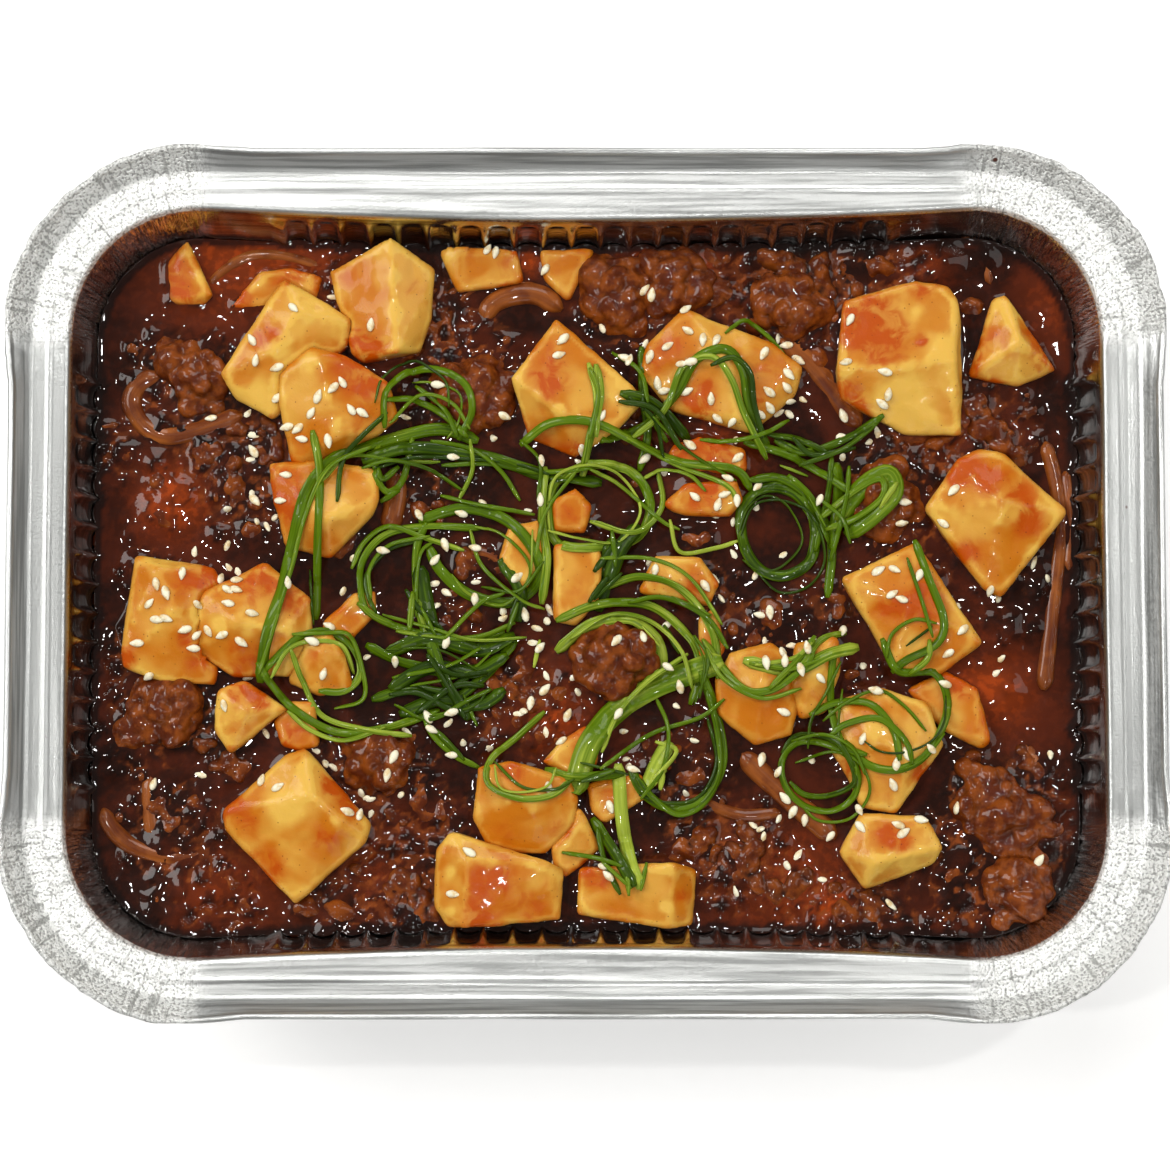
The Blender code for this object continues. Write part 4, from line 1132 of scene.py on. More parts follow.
    def contour(self, place: Vector, height: float, inset: float) -> Vector:
        """Return a flat place, moved in where it would pass the wall's fluted inner side at a height.

        Args:
            place: the flat place.
            height: the height.
            inset: the room left to the wall.

        Returns:
            The place, or the nearest one inside the wall.
        """
        foot, outward, reach = self.wall_at(place, height)
        if outward.length <= reach - inset:
            return place
        return foot + outward * ((reach - inset) / outward.length)


# The food


@dataclass(frozen=True)
class Dab:
    """A soft-edged spot on the food, as a reading: where it is, its radius in pixels and its strength."""

    across: float
    down: float
    radius: float
    strength: float


def dabbed(places: np.ndarray, dabs: list[Dab]) -> np.ndarray:
    """Return the sum of the dabs' soft spots at each place.

    Args:
        places: the places, one row each.
        dabs: the spots.

    Returns:
        One number for each place.
    """
    total = np.zeros(len(places))
    for dab in dabs:
        middle = READING.at(dab.across, dab.down)
        radius = dab.radius / READING.pixels_per_mm * MM
        gap = (places[:, 0] - middle.x) ** 2 + (places[:, 1] - middle.y) ** 2
        total += dab.strength * np.exp(-gap / (radius * radius))
    return total


def copy_node(node: str, name: str, seed_edge: float = 2.45 * MM) -> bpy.types.Object:
    """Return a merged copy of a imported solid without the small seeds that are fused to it.

    Args:
        node: the solid's name.
        name: the new piece's name.
        seed_edge: corners whose edges are all shorter than this belong to a seed.

    Returns:
        The new object, closed.
    """
    shape = bmesh.new()
    shape.from_mesh(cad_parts[node].data)
    bmesh.ops.remove_doubles(shape, verts=shape.verts, dist=0.01 * MM)
    tips = []
    for corner in shape.verts:
        if max(edge.calc_length() for edge in corner.link_edges) < seed_edge:
            tips.append(corner)
    if len(tips) < len(shape.verts) // 2:
        bmesh.ops.delete(shape, geom=tips, context="VERTS")
        bmesh.ops.holes_fill(shape, edges=shape.edges, sides=12)
        bmesh.ops.triangulate(shape, faces=shape.faces)
    bmesh.ops.recalc_face_normals(shape, faces=shape.faces)
    return add_piece(name, shape)


# Orange smears of sauce on the tofu, and, with a minus, places where it is clean and cream
SMEARS = [
    Dab(174, 261, 18, 1.0), Dab(187, 250, 8, -0.8), Dab(198, 274, 9, -0.8), Dab(180, 292, 14, 0.5),
    Dab(268, 282, 24, -0.3), Dab(292, 268, 14, 0.3), Dab(235, 290, 12, 0.5),
    Dab(271, 336, 15, 0.9), Dab(284, 285, 16, 0.6), Dab(257, 352, 20, 0.5), Dab(308, 314, 11, -0.8),
    Dab(281, 354, 11, -0.7), Dab(330, 333, 20, -0.4), Dab(250, 395, 18, -0.4), Dab(240, 372, 12, 0.5),
    Dab(348, 368, 26, 1.0), Dab(370, 384, 22, 0.8), Dab(313, 368, 11, -0.9), Dab(325, 395, 11, -0.9),
    Dab(338, 427, 11, -0.9), Dab(295, 389, 16, -0.4), Dab(303, 435, 20, 0.4), Dab(362, 430, 18, 0.6),
    Dab(348, 274, 20, 0.5), Dab(394, 247, 8, -1.0), Dab(395, 280, 8, -1.0), Dab(396, 315, 8, -1.0),
    Dab(372, 345, 18, 0.9), Dab(362, 309, 18, -0.3), Dab(412, 290, 14, 0.5), Dab(352, 335, 14, 0.6),
    Dab(281, 488, 22, 1.2), Dab(295, 515, 20, 0.8), Dab(345, 500, 22, -0.5), Dab(330, 545, 18, 0.5),
    Dab(451, 251, 14, -0.6), Dab(469, 254, 10, 0.7), Dab(507, 259, 14, 0.4), Dab(566, 251, 16, 0.35),
    Dab(550, 376, 24, 1.0), Dab(540, 395, 14, 0.8), Dab(543, 343, 18, 0.3), Dab(612, 394, 24, -0.4),
    Dab(512, 379, 9, -1.0), Dab(535, 396, 9, -1.0), Dab(558, 412, 9, -1.0), Dab(543, 424, 16, 0.4),
    Dab(578, 445, 16, 0.6), Dab(675, 343, 20, 0.6), Dab(696, 401, 16, 1.3), Dab(729, 373, 10, -1.0),
    Dab(736, 398, 11, -1.0), Dab(742, 424, 11, -1.0), Dab(762, 388, 22, 1.0), Dab(709, 391, 12, 0.8),
    Dab(783, 358, 20, 0.3), Dab(655, 360, 16, 0.6), Dab(700, 358, 12, -0.4), Dab(705, 458, 36, 1.3),
    Dab(875, 328, 36, 1.1), Dab(851, 316, 24, 1.0), Dab(919, 292, 20, 0.8), Dab(888, 360, 26, 0.7),
    Dab(921, 342, 6, 1.5), Dab(914, 311, 12, -0.8), Dab(943, 353, 12, -0.7), Dab(900, 398, 36, -0.9),
    Dab(851, 408, 20, 1.3), Dab(866, 428, 16, 1.1), Dab(844, 389, 12, 0.7), Dab(850, 373, 7, -0.9),
    Dab(992, 336, 20, 0.6), Dab(977, 362, 12, 1.0), Dab(1033, 328, 20, 0.7), Dab(1045, 358, 16, 0.8),
    Dab(1013, 316, 8, -1.0), Dab(1016, 343, 8, -1.0), Dab(1005, 372, 18, -0.2), Dab(995, 385, 12, 0.7),
    Dab(977, 474, 22, 1.3), Dab(958, 479, 14, 1.0), Dab(1016, 498, 26, 0.8), Dab(1026, 527, 16, 0.9),
    Dab(963, 554, 16, 1.0), Dab(948, 522, 22, -0.5), Dab(992, 459, 12, -0.8), Dab(1011, 515, 8, -0.8),
    Dab(1030, 549, 8, -0.7), Dab(990, 560, 22, 0.2), Dab(919, 605, 24, 1.3), Dab(887, 612, 16, 0.9),
    Dab(909, 636, 16, -0.7), Dab(866, 585, 14, -0.3), Dab(948, 650, 14, 0.3), Dab(875, 570, 10, 0.5),
    Dab(514, 773, 12, 1.2), Dab(500, 803, 12, -0.7), Dab(540, 804, 12, -0.7), Dab(507, 829, 16, 0.5),
    Dab(558, 829, 16, 0.6), Dab(450, 882, 10, -0.3), Dab(455, 840, 7, -1.0), Dab(453, 870, 7, -1.0),
    Dab(454, 910, 7, -1.0), Dab(494, 882, 26, 1.2), Dab(476, 921, 20, 1.0), Dab(537, 908, 20, 0.6),
    Dab(494, 856, 10, -0.6), Dab(532, 862, 10, -0.6), Dab(545, 885, 10, -0.4), Dab(596, 875, 14, 1.4),
    Dab(634, 898, 20, -0.2), Dab(681, 895, 8, 1.0), Dab(667, 868, 6, -1.0), Dab(664, 905, 6, -1.0),
    Dab(620, 915, 14, 0.5), Dab(588, 747, 18, 0.5), Dab(573, 727, 16, 1.2), Dab(558, 747, 12, -0.4),
    Dab(961, 682, 18, 1.2), Dab(956, 718, 12, -0.6), Dab(979, 727, 14, 0.5), Dab(876, 732, 12, -0.8),
    Dab(903, 727, 12, -0.3), Dab(921, 772, 14, 1.3), Dab(885, 788, 16, 0.6), Dab(850, 765, 16, 1.0),
    Dab(860, 700, 16, 0.7), Dab(883, 834, 14, 0.9), Dab(898, 843, 14, 0.8), Dab(921, 839, 12, 0.3),
    Dab(856, 861, 14, 0.6), Dab(878, 861, 9, -1.0), Dab(903, 863, 9, -0.8), Dab(890, 876, 12, 0.4),
    Dab(194, 585, 22, 1.0), Dab(215, 575, 16, 0.7), Dab(130, 657, 14, 1.1), Dab(160, 625, 26, -0.6),
    Dab(188, 640, 10, 1.4), Dab(200, 665, 14, 0.9), Dab(258, 585, 26, 1.0), Dab(245, 655, 20, 0.9),
    Dab(296, 603, 18, 0.8), Dab(198, 617, 8, -1.0), Dab(222, 626, 9, -1.0), Dab(250, 636, 9, -1.0),
    Dab(245, 692, 15, 1.6), Dab(262, 700, 12, 1.3), Dab(240, 730, 16, 0.5), Dab(222, 705, 12, -0.3),
    Dab(235, 802, 16, 1.1), Dab(334, 784, 16, 1.0), Dab(352, 805, 16, 1.0), Dab(329, 836, 16, 1.0),
    Dab(271, 866, 20, 1.0), Dab(255, 825, 14, 0.7), Dab(291, 807, 22, -0.9), Dab(308, 769, 9, -1.0),
    Dab(314, 790, 9, -1.0), Dab(338, 822, 9, -1.0), Dab(300, 735, 20, 0.7), Dab(325, 655, 20, 0.6),
    Dab(350, 612, 14, 0.4), Dab(520, 550, 16, -0.2), Dab(577, 590, 22, 0.4), Dab(570, 512, 14, 0.5),
    Dab(690, 590, 22, 0.7), Dab(705, 500, 18, 0.5), Dab(762, 705, 22, 0.6), Dab(740, 690, 14, -0.4),
    Dab(812, 672, 14, -0.3), Dab(820, 695, 14, 0.6), Dab(610, 800, 12, 0.7), Dab(712, 638, 10, 0.3),
]


@dataclass
class TofuPieces:
    """The pieces of tofu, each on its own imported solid, softened at the edges and stained by the sauce."""

    nodes: list[str]
    grain: float = 0.62 * MM
    fullness: float = 0.4 * MM
    sag_size: float = 9 * MM
    sag: float = 0.9 * MM
    dimple_size: float = 2.5 * MM
    dimple: float = 0.22 * MM
    pieces: list[bpy.types.Object] = field(default_factory=list)

    def build(self, node: str) -> bpy.types.Object:
        """Return one piece, in the shape of its solid.

        Args:
            node: the solid's name.

        Returns:
            The piece, without a material.
        """
        piece = copy_node(node, node.replace("tofu", "tofu_chunk"))
        work(piece, "REMESH", mode="VOXEL", voxel_size=self.grain)
        work(piece, "SMOOTH", factor=0.5, iterations=3)
        work(piece, "DISPLACE", strength=self.fullness, mid_level=0.0)
        roughen(piece, "CLOUDS", self.sag_size, self.sag)
        roughen(piece, "CLOUDS", self.dimple_size, self.dimple)
        return piece

    def dress(self, piece: bpy.types.Object, material: bpy.types.Material) -> None:
        """Store where the piece is clean, smeared and wet, and give it the finish.

        Args:
            piece: the piece.
            material: the finish.
        """
        places = places_of(piece.data)
        relief = standing_out(piece.data, 14)
        ridge = ease(relief, 0.03 * MM, 0.15 * MM) * (1 - ease(relief, 0.26 * MM, 0.5 * MM))
        outline = ease(relief, 0.3 * MM, 0.6 * MM)
        pooled = ease(-relief, 0.03 * MM, 0.2 * MM)
        patches = np.array([noise.noise(Vector(place) / (7 * MM)) for place in places])
        drawn = dabbed(places, SMEARS)
        low = 1 - ease(places[:, 2], SAUCE_LEVEL + 0.8 * MM, SAUCE_LEVEL + 4 * MM)
        tone = random.Random(piece.name).uniform(-0.15, 0.25)
        set_values(piece.data, "edge", np.clip(0.4 * ridge - 0.8 * np.minimum(drawn, 0) + tone, 0, 1))
        smear = drawn + 0.7 * low + 0.55 * pooled + 0.6 * outline * np.clip(0.5 + 1.2 * patches, 0, 1)
        set_values(piece.data, "smear", np.clip(smear, 0, 1))
        deep = np.clip(drawn - 1.0, 0, 1)
        dry = ease(places[:, 2], SAUCE_LEVEL + 0.2 * MM, SAUCE_LEVEL + 2.2 * MM)
        set_values(piece.data, "wet", 0.6 * deep + 1 - dry)
        piece.data.materials.append(material)
        smooth_shaded(piece)

    def make(self) -> None:
        """Build and dress every piece."""
        material = TofuFinish().make()
        for node in self.nodes:
            piece = self.build(node)
            self.dress(piece, material)
            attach(piece, BODY)
            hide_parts(node)
            self.pieces.append(piece)


@dataclass
class Granule:
    """One nodule of minced meat, modelled once and stamped many times."""

    name: str = "granule"
    seed: int = 5

    def model(self) -> bpy.types.Mesh:
        """Return the nodule, one metre long: a ball pressed flat, pinched and knocked out of round.

        Returns:
            The nodule's mesh.
        """
        deselect()
        bpy.ops.mesh.primitive_ico_sphere_add(subdivisions=2, radius=0.5)
        ball = bpy.context.object
        bpy.ops.object.mode_set(mode="EDIT")
        bpy.ops.mesh.select_all(action="SELECT")
        bpy.ops.transform.resize(value=(1.0, 0.78, 0.66))
        bpy.ops.transform.vertex_random(offset=0.05, seed=self.seed)
        bpy.ops.object.mode_set(mode="OBJECT")
        mesh = ball.data
        mesh.name = self.name
        bpy.data.objects.remove(ball)
        return mesh


def scattered_turn(draw: random.Random) -> Matrix:
    """Return a random rotation."""
    heading = Matrix.Rotation(draw.uniform(0, math.tau), 4, "Z")
    roll = Matrix.Rotation(draw.uniform(-0.9, 0.9), 4, "X")
    return heading @ roll @ Matrix.Rotation(draw.uniform(-0.9, 0.9), 4, "Y")


# Where the sauce is full of meat: readings, radius and strength
MEATY = [
    Dab(640, 290, 70, 1.0), Dab(790, 280, 90, 1.0), Dab(890, 265, 50, 0.9), Dab(180, 375, 60, 0.9),
    Dab(470, 380, 60, 0.9), Dab(890, 500, 60, 0.9), Dab(160, 715, 70, 0.9), Dab(375, 765, 60, 1.0),
    Dab(430, 820, 50, 0.8), Dab(1000, 820, 80, 1.0), Dab(1010, 890, 60, 1.0), Dab(720, 850, 70, 1.0),
    Dab(380, 900, 70, 0.9), Dab(205, 890, 70, 0.9), Dab(520, 700, 60, 0.9), Dab(995, 425, 50, 0.9),
    Dab(235, 480, 60, 0.8), Dab(760, 620, 50, 0.8), Dab(830, 905, 70, 0.7), Dab(680, 770, 50, 0.8),
    Dab(160, 830, 50, 0.5), Dab(1030, 600, 50, 0.4), Dab(430, 480, 60, 0.7), Dab(600, 520, 60, 0.5),
    Dab(940, 450, 50, 0.8), Dab(700, 580, 40, 0.6), Dab(140, 560, 40, 0.5), Dab(470, 620, 60, 0.6),
    Dab(330, 280, 30, 0.5), Dab(440, 330, 55, 1.0), Dab(940, 560, 50, 0.5), Dab(600, 860, 40, 0.6),
    Dab(130, 650, 30, 0.6), Dab(240, 450, 40, 0.9), Dab(650, 410, 40, 0.6), Dab(830, 600, 40, 0.8),
    Dab(120, 450, 40, 0.7), Dab(860, 690, 30, 0.5), Dab(430, 920, 50, 0.8), Dab(920, 930, 50, 0.5),
]
# Where something large lies just under the sauce and lifts it: strengths in mm
MOUNDS = [
    Dab(945, 258, 26, 2.6), Dab(175, 500, 24, 1.4), Dab(1003, 690, 24, 1.6), Dab(990, 645, 20, 1.2),
    Dab(702, 470, 28, 1.6), Dab(560, 722, 24, 1.4), Dab(825, 905, 18, 1.0), Dab(205, 895, 26, 1.4),
    Dab(610, 700, 18, 1.2), Dab(990, 250, 14, 1.2), Dab(150, 455, 16, 1.2), Dab(375, 560, 24, 1.4),
    Dab(430, 640, 20, 1.2), Dab(1030, 830, 20, 1.2),
]
# Where the sauce is thin and orange
THIN_SAUCE = [
    Dab(930, 262, 20, 0.5), Dab(175, 500, 26, 0.6), Dab(1003, 690, 24, 0.6), Dab(560, 722, 20, 0.6),
    Dab(205, 895, 20, 0.4), Dab(527, 255, 14, 1.3), Dab(698, 262, 14, 0.9), Dab(640, 245, 12, 0.5),
    Dab(830, 905, 20, 0.9), Dab(965, 690, 24, 0.7), Dab(215, 245, 60, 0.8), Dab(300, 235, 60, 0.6),
    Dab(170, 500, 40, 0.6), Dab(250, 870, 50, 0.3), Dab(1060, 300, 40, 0.4), Dab(700, 240, 50, 0.4),
    Dab(940, 420, 40, 0.4), Dab(720, 455, 40, 0.6), Dab(950, 640, 40, 0.4), Dab(560, 720, 50, 0.4),
    Dab(380, 870, 40, 0.3), Dab(790, 880, 60, 0.5), Dab(400, 310, 40, 0.4), Dab(320, 440, 30, 0.5),
    Dab(1000, 700, 50, 0.3),
]

# Crumbs of meat that lie loose in the sauce: reading, radius and height in mm
CRUMBS = [
    (880, 262, 6, 2.6), (862, 262, 5, 2), (825, 268, 4.5, 2.4), (822, 285, 4, 2), (775, 248, 5, 2),
    (795, 262, 3.5, 1.5), (720, 285, 4.5, 1.8), (708, 250, 4, 1.6), (440, 345, 4.5, 2.2), (425, 312, 4, 2),
    (430, 322, 3.5, 1.6), (205, 452, 4, 2.2), (235, 485, 4, 1.8), (250, 530, 4.5, 1.8), (120, 450, 4, 1.6),
    (205, 338, 3, 1.2), (990, 420, 6, 2.6), (1005, 440, 5, 2), (975, 405, 4.5, 1.8), (825, 352, 4.5, 1.8),
    (975, 303, 4, 1.6), (155, 480, 4, 2.2), (160, 515, 5, 2), (175, 495, 4, 1.6), (225, 765, 5, 1.8),
    (240, 772, 4, 1.5), (423, 800, 5, 2), (435, 812, 4, 1.8), (340, 912, 4.5, 2.2), (400, 885, 5, 1.8),
    (425, 905, 4.5, 1.8), (308, 910, 3.5, 1.5), (190, 890, 7, 2.4), (225, 888, 5, 2), (165, 905, 4, 1.4),
    (245, 905, 3.5, 1.6), (705, 840, 6, 2.4), (685, 850, 4.5, 2), (745, 855, 5.5, 2.2), (765, 882, 4.5, 2),
    (735, 875, 3.5, 1.4), (795, 885, 5.5, 1.6), (845, 910, 5.5, 1.8), (872, 905, 4.5, 1.5),
    (505, 690, 6, 2.2), (535, 705, 5.5, 2), (520, 672, 4.5, 1.8), (545, 735, 4.5, 1.6), (670, 760, 6, 2),
    (690, 775, 5, 1.8), (770, 615, 5, 2), (755, 640, 4, 1.6), (1005, 630, 4, 1.6), (1030, 770, 5, 1.8),
    (950, 870, 3.5, 1.6), (962, 860, 3.5, 1.8), (500, 560, 6, 1.6), (470, 560, 5, 1.6), (440, 620, 5, 1.6),
    (700, 540, 5, 1.4), (155, 800, 4, 1.5), (175, 830, 5, 1.5), (195, 810, 4, 1.2), (345, 540, 4, 1.2),
    (560, 700, 4, 1.4),
]


@dataclass
class MincedMeat:
    """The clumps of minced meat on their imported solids, and the crumbs that lie loose in the sauce."""

    nodes: list[str]
    tray: FoilTray
    voxel: float = 0.42 * MM
    crumb_voxel: float = 0.52 * MM
    crumb_faces_kept: float = 0.58
    granule_length: tuple[float, float] = (4.5 * MM, 10 * MM)
    granule_room: float = 4.0 * MM
    crumb_length: tuple[float, float] = (2.8, 7.2)
    knob_size: float = 4.2 * MM
    knob: float = 0.7 * MM
    grit_size: float = 1.6 * MM
    grit: float = 0.4 * MM
    pieces: list[bpy.types.Object] = field(default_factory=list)

    def __post_init__(self) -> None:
        """Model the nodule that every clump repeats."""
        self.granule = Granule().model()

    def fuse(self, piece: bpy.types.Object, voxel: float) -> None:
        """Grow a heap of nodules together into one lumpy skin, with faces of about a size.

        Args:
            piece: the heap.
            voxel: the size of the skin's faces.
        """
        work(piece, "REMESH", mode="VOXEL", voxel_size=voxel)
        work(piece, "SMOOTH", factor=0.5, iterations=2)
        roughen(piece, "VORONOI", self.knob_size, -self.knob)
        roughen(piece, "CLOUDS", self.grit_size, self.grit)
        work(piece, "SMOOTH", factor=0.4, iterations=1)

    def build_clump(self, node: str) -> bpy.types.Object:
        """Return a clump: its solid a little shrunk, covered with nodules.

        Args:
            node: the solid's name.

        Returns:
            The clump, without a material.
        """
        draw = random.Random(node)
        core = copy_node(node, "core")
        shape = bmesh.new()
        shape.from_mesh(core.data)
        bmesh.ops.smooth_vert(shape, verts=shape.verts, factor=0.3, use_axis_x=True, use_axis_y=True,
                              use_axis_z=True)
        faces = [face for face in shape.faces if face.normal.z > -0.2]
        spots = []
        for face in faces:
            for _ in range(max(1, round(face.calc_area() / (self.granule_room ** 2)))):
                weights = [draw.random() for _ in face.verts]
                spot = sum((corner.co * weight for corner, weight in zip(face.verts, weights)), Vector())
                spots.append((spot / sum(weights), face.normal.copy()))
        for spot, normal in spots:
            length = draw.uniform(*self.granule_length)
            sink = length * draw.uniform(0.1, 0.28)
            place = Matrix.Translation(spot - normal * sink) @ scattered_turn(draw) @ Matrix.Scale(length, 4)
            stamp(shape, self.granule, place)
        bpy.data.objects.remove(core)
        clump = add_piece(node.replace("mince", "mince_clump"), shape)
        self.fuse(clump, self.voxel)
        return clump

    def drop(self, shape: bmesh.types.BMesh, middle: Vector, reach: float, rise: float,
             draw: random.Random) -> None:
        """Add one nodule near a place, standing out of the sauce.

        Args:
            shape: the bmesh that takes it.
            middle: the place.
            reach: how far from the place it may lie.
            rise: how far it stands out of the sauce at the place itself.
            draw: the source of chance.
        """
        angle = draw.uniform(0, math.tau)
        share = math.sqrt(draw.random())
        spot = middle + Vector((math.cos(angle), math.sin(angle))) * reach * share
        spot = self.tray.contour(spot, SAUCE_LEVEL, 3 * MM)
        length = draw.uniform(*self.crumb_length) * MM
        lift = SAUCE_LEVEL + rise * (1 - 0.6 * share) - 0.3 * length
        place = Matrix.Translation((spot.x, spot.y, lift)) @ scattered_turn(draw) @ Matrix.Scale(length, 4)
        stamp(shape, self.granule, place)

    def build_crumbs(self) -> bpy.types.Object:
        """Return the loose crumbs: little heaps of nodules standing out of the sauce.

        Returns:
            The crumbs, in one piece.
        """
        draw = random.Random(23)
        shape = bmesh.new()
        for across, down, radius, rise in CRUMBS:
            middle = READING.at(across, down)
            for _ in range(round(radius * 1.6)):
                self.drop(shape, middle, radius * MM * 0.62, rise * MM, draw)
        for dab in MEATY:
            middle = READING.at(dab.across, dab.down)
            for _ in range(round(dab.strength * dab.radius / 2.7)):
                reach = dab.radius / READING.pixels_per_mm * MM
                self.drop(shape, middle, reach, draw.uniform(0.4, 1.6) * MM, draw)
        crumbs = add_piece("mince_crumbs", shape)
        self.fuse(crumbs, self.crumb_voxel)
        work(crumbs, "DECIMATE", ratio=self.crumb_faces_kept)
        return crumbs

    def dress(self, piece: bpy.types.Object, material: bpy.types.Material) -> None:
        """Paint shade into the hollows, darken the meat towards the sauce, and give it its finish.

        Args:
            piece: the piece.
            material: the finish.
        """
        sunk = -standing_out(piece.data, 6)
        places = places_of(piece.data)
        low = 1 - ease(places[:, 2], SAUCE_LEVEL, SAUCE_LEVEL + 1.6 * MM)
        # Painted shade in the hollows between the grains; the meat is also darker towards the sauce's level.
        set_values(piece.data, "hollow", np.clip(ease(sunk, -0.05 * MM, 0.3 * MM) + 0.6 * low, 0, 1))
        piece.data.materials.append(material)
        smooth_shaded(piece)
        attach(piece, BODY)
        self.pieces.append(piece)

    def make(self) -> None:
        """Build and dress the clumps and the crumbs."""
        material = MeatFinish().make()
        for node in self.nodes:
            clump = self.build_clump(node)
            self.dress(clump, material)
            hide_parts(node)
        self.dress(self.build_crumbs(), material)


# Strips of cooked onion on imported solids: width and rise above the sauce in mm, and the path in readings
ONION_STRIPS = [
    (4.2, 1.2, [(158, 372), (138, 380), (128, 398), (138, 420), (160, 434), (190, 430), (240, 412)]),
    (3.8, 1.5, [(105, 808), (112, 825), (128, 842), (150, 852), (180, 858), (205, 852)]),
    (4.8, 1.8, [(482, 318), (492, 300), (515, 290), (540, 291), (562, 306)]),
    (3.4, 1.1, [(1048, 440), (1058, 480), (1062, 530), (1056, 590), (1050, 640), (1044, 690)]),
    (5.0, 1.5, [(740, 752), (770, 782), (805, 812), (835, 838)]),
    (5.5, 1.4, [(782, 335), (815, 362), (845, 400), (862, 425)]),
    (5.0, 1.6, [(396, 468), (394, 500), (388, 532)]),
]

# Thinner onion that lies in the sauce: the same values
SUNK_ONION = [
    (3.4, 0.9, [(152, 775), (150, 800), (154, 838)]),
    (2.0, 0.9, [(455, 300), (475, 284), (505, 276), (545, 285)]),
    (3.0, 0.8, [(1025, 745), (1035, 770), (1022, 798)]),
    (2.6, 0.8, [(222, 262), (250, 250), (285, 252), (318, 262)]),
    (2.2, 0.7, [(205, 280), (225, 262), (262, 246)]),
    (3.2, 1.2, [(1000, 868), (996, 890), (1004, 912)]),
    (2.4, 0.8, [(1068, 470), (1072, 520), (1070, 570)]),
    (3.0, 1.0, [(455, 560), (480, 552), (505, 566), (512, 582)]),
    (2.6, 0.9, [(965, 232), (985, 250), (995, 280)]),
    (2.8, 0.9, [(700, 800), (740, 815), (780, 812)]),
]


@dataclass
class OnionStrips:
    """Strips of cooked onion, crescents with a rounded back, half sunk in the sauce."""

    depth: float = 1.6 * MM
    fullness: float = 1.2
    step: float = 1.1 * MM
    across: int = 9

    def section(self, share: float) -> float:
        """Return the back's height over its edges, from 0 to 1, at a share of the width from -1 to 1."""
        return math.sqrt(max(0.0, 1 - abs(share) ** 2.6))

    def sweep(self, shape: bmesh.types.BMesh, width: float, rise: float, path: Path) -> None:
        """Add one strip to a shape.

        Args:
            shape: the bmesh that takes it.
            width: the strip's width in mm.
            rise: how far it stands above the sauce in mm.
            path: the line that it follows, in readings.
        """
        shape.loops.layers.uv.verify()
        line, _ = smooth_path([READING.at(*place) for place in path], self.step)
        rings = []
        count = len(line)
        for index, point in enumerate(line):
            along = (line[min(index + 1, count - 1)] - line[max(index - 1, 0)]).normalized()
            side = Vector((-along.y, along.x))
            end = min(index, count - 1 - index) * self.step
            taper = math.sqrt(min(1.0, (end + 0.25 * MM) / (width * MM * 0.6)))
            wave = 1 + 0.12 * noise.noise(Vector((point.x, point.y, 0)) / (6 * MM))
            half = self.fullness * width * MM / 2 * taper * wave
            ring = []
            for step in range(self.across):
                share = 2 * step / (self.across - 1) - 1
                ridge = 0.1 * MM * math.cos(share * 9)
                back = (rise * MM * taper + self.depth) * self.section(share * 0.97)
                top = SAUCE_LEVEL - self.depth + back + ridge
                place = point + side * half * share
                ring.append(shape.verts.new((place.x, place.y, top)))
            for step in range(self.across - 2, 0, -1):
                share = 2 * step / (self.across - 1) - 1
                place = point + side * half * share
                ring.append(shape.verts.new((place.x, place.y, SAUCE_LEVEL - self.depth - 0.2 * MM)))
            rings.append(ring)
        join_rings(shape, rings, False, (self.step, width * MM / self.across))

    def build(self, name: str, strips: list[tuple[float, float, Path]]) -> bpy.types.Object:
        """Return a piece made of one or more strips.

        Args:
            name: the piece's name.
            strips: the width, rise and path of each strip.

        Returns:
            The piece, without a material.
        """
        shape = bmesh.new()
        for width, rise, path in strips:
            self.sweep(shape, width, rise, path)
        bmesh.ops.recalc_face_normals(shape, faces=shape.faces)
        return add_piece(name, shape)

    def make(self) -> list[bpy.types.Object]:
        """Build and dress every strip, and return them.

        Returns:
            The pieces.
        """
        material = OnionFinish().make()
        pieces = []
        for number, strip in enumerate(ONION_STRIPS, start=1):
            piece = self.build(f"onion_strip_{number:02d}", [strip])
            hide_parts(f"onion_{number:02d}")
            pieces.append(piece)
        pieces.append(self.build("onion_in_the_sauce", SUNK_ONION))
        for piece in pieces:
            piece.data.materials.append(material)
            smooth_shaded(piece)
            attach(piece, BODY)
        return pieces


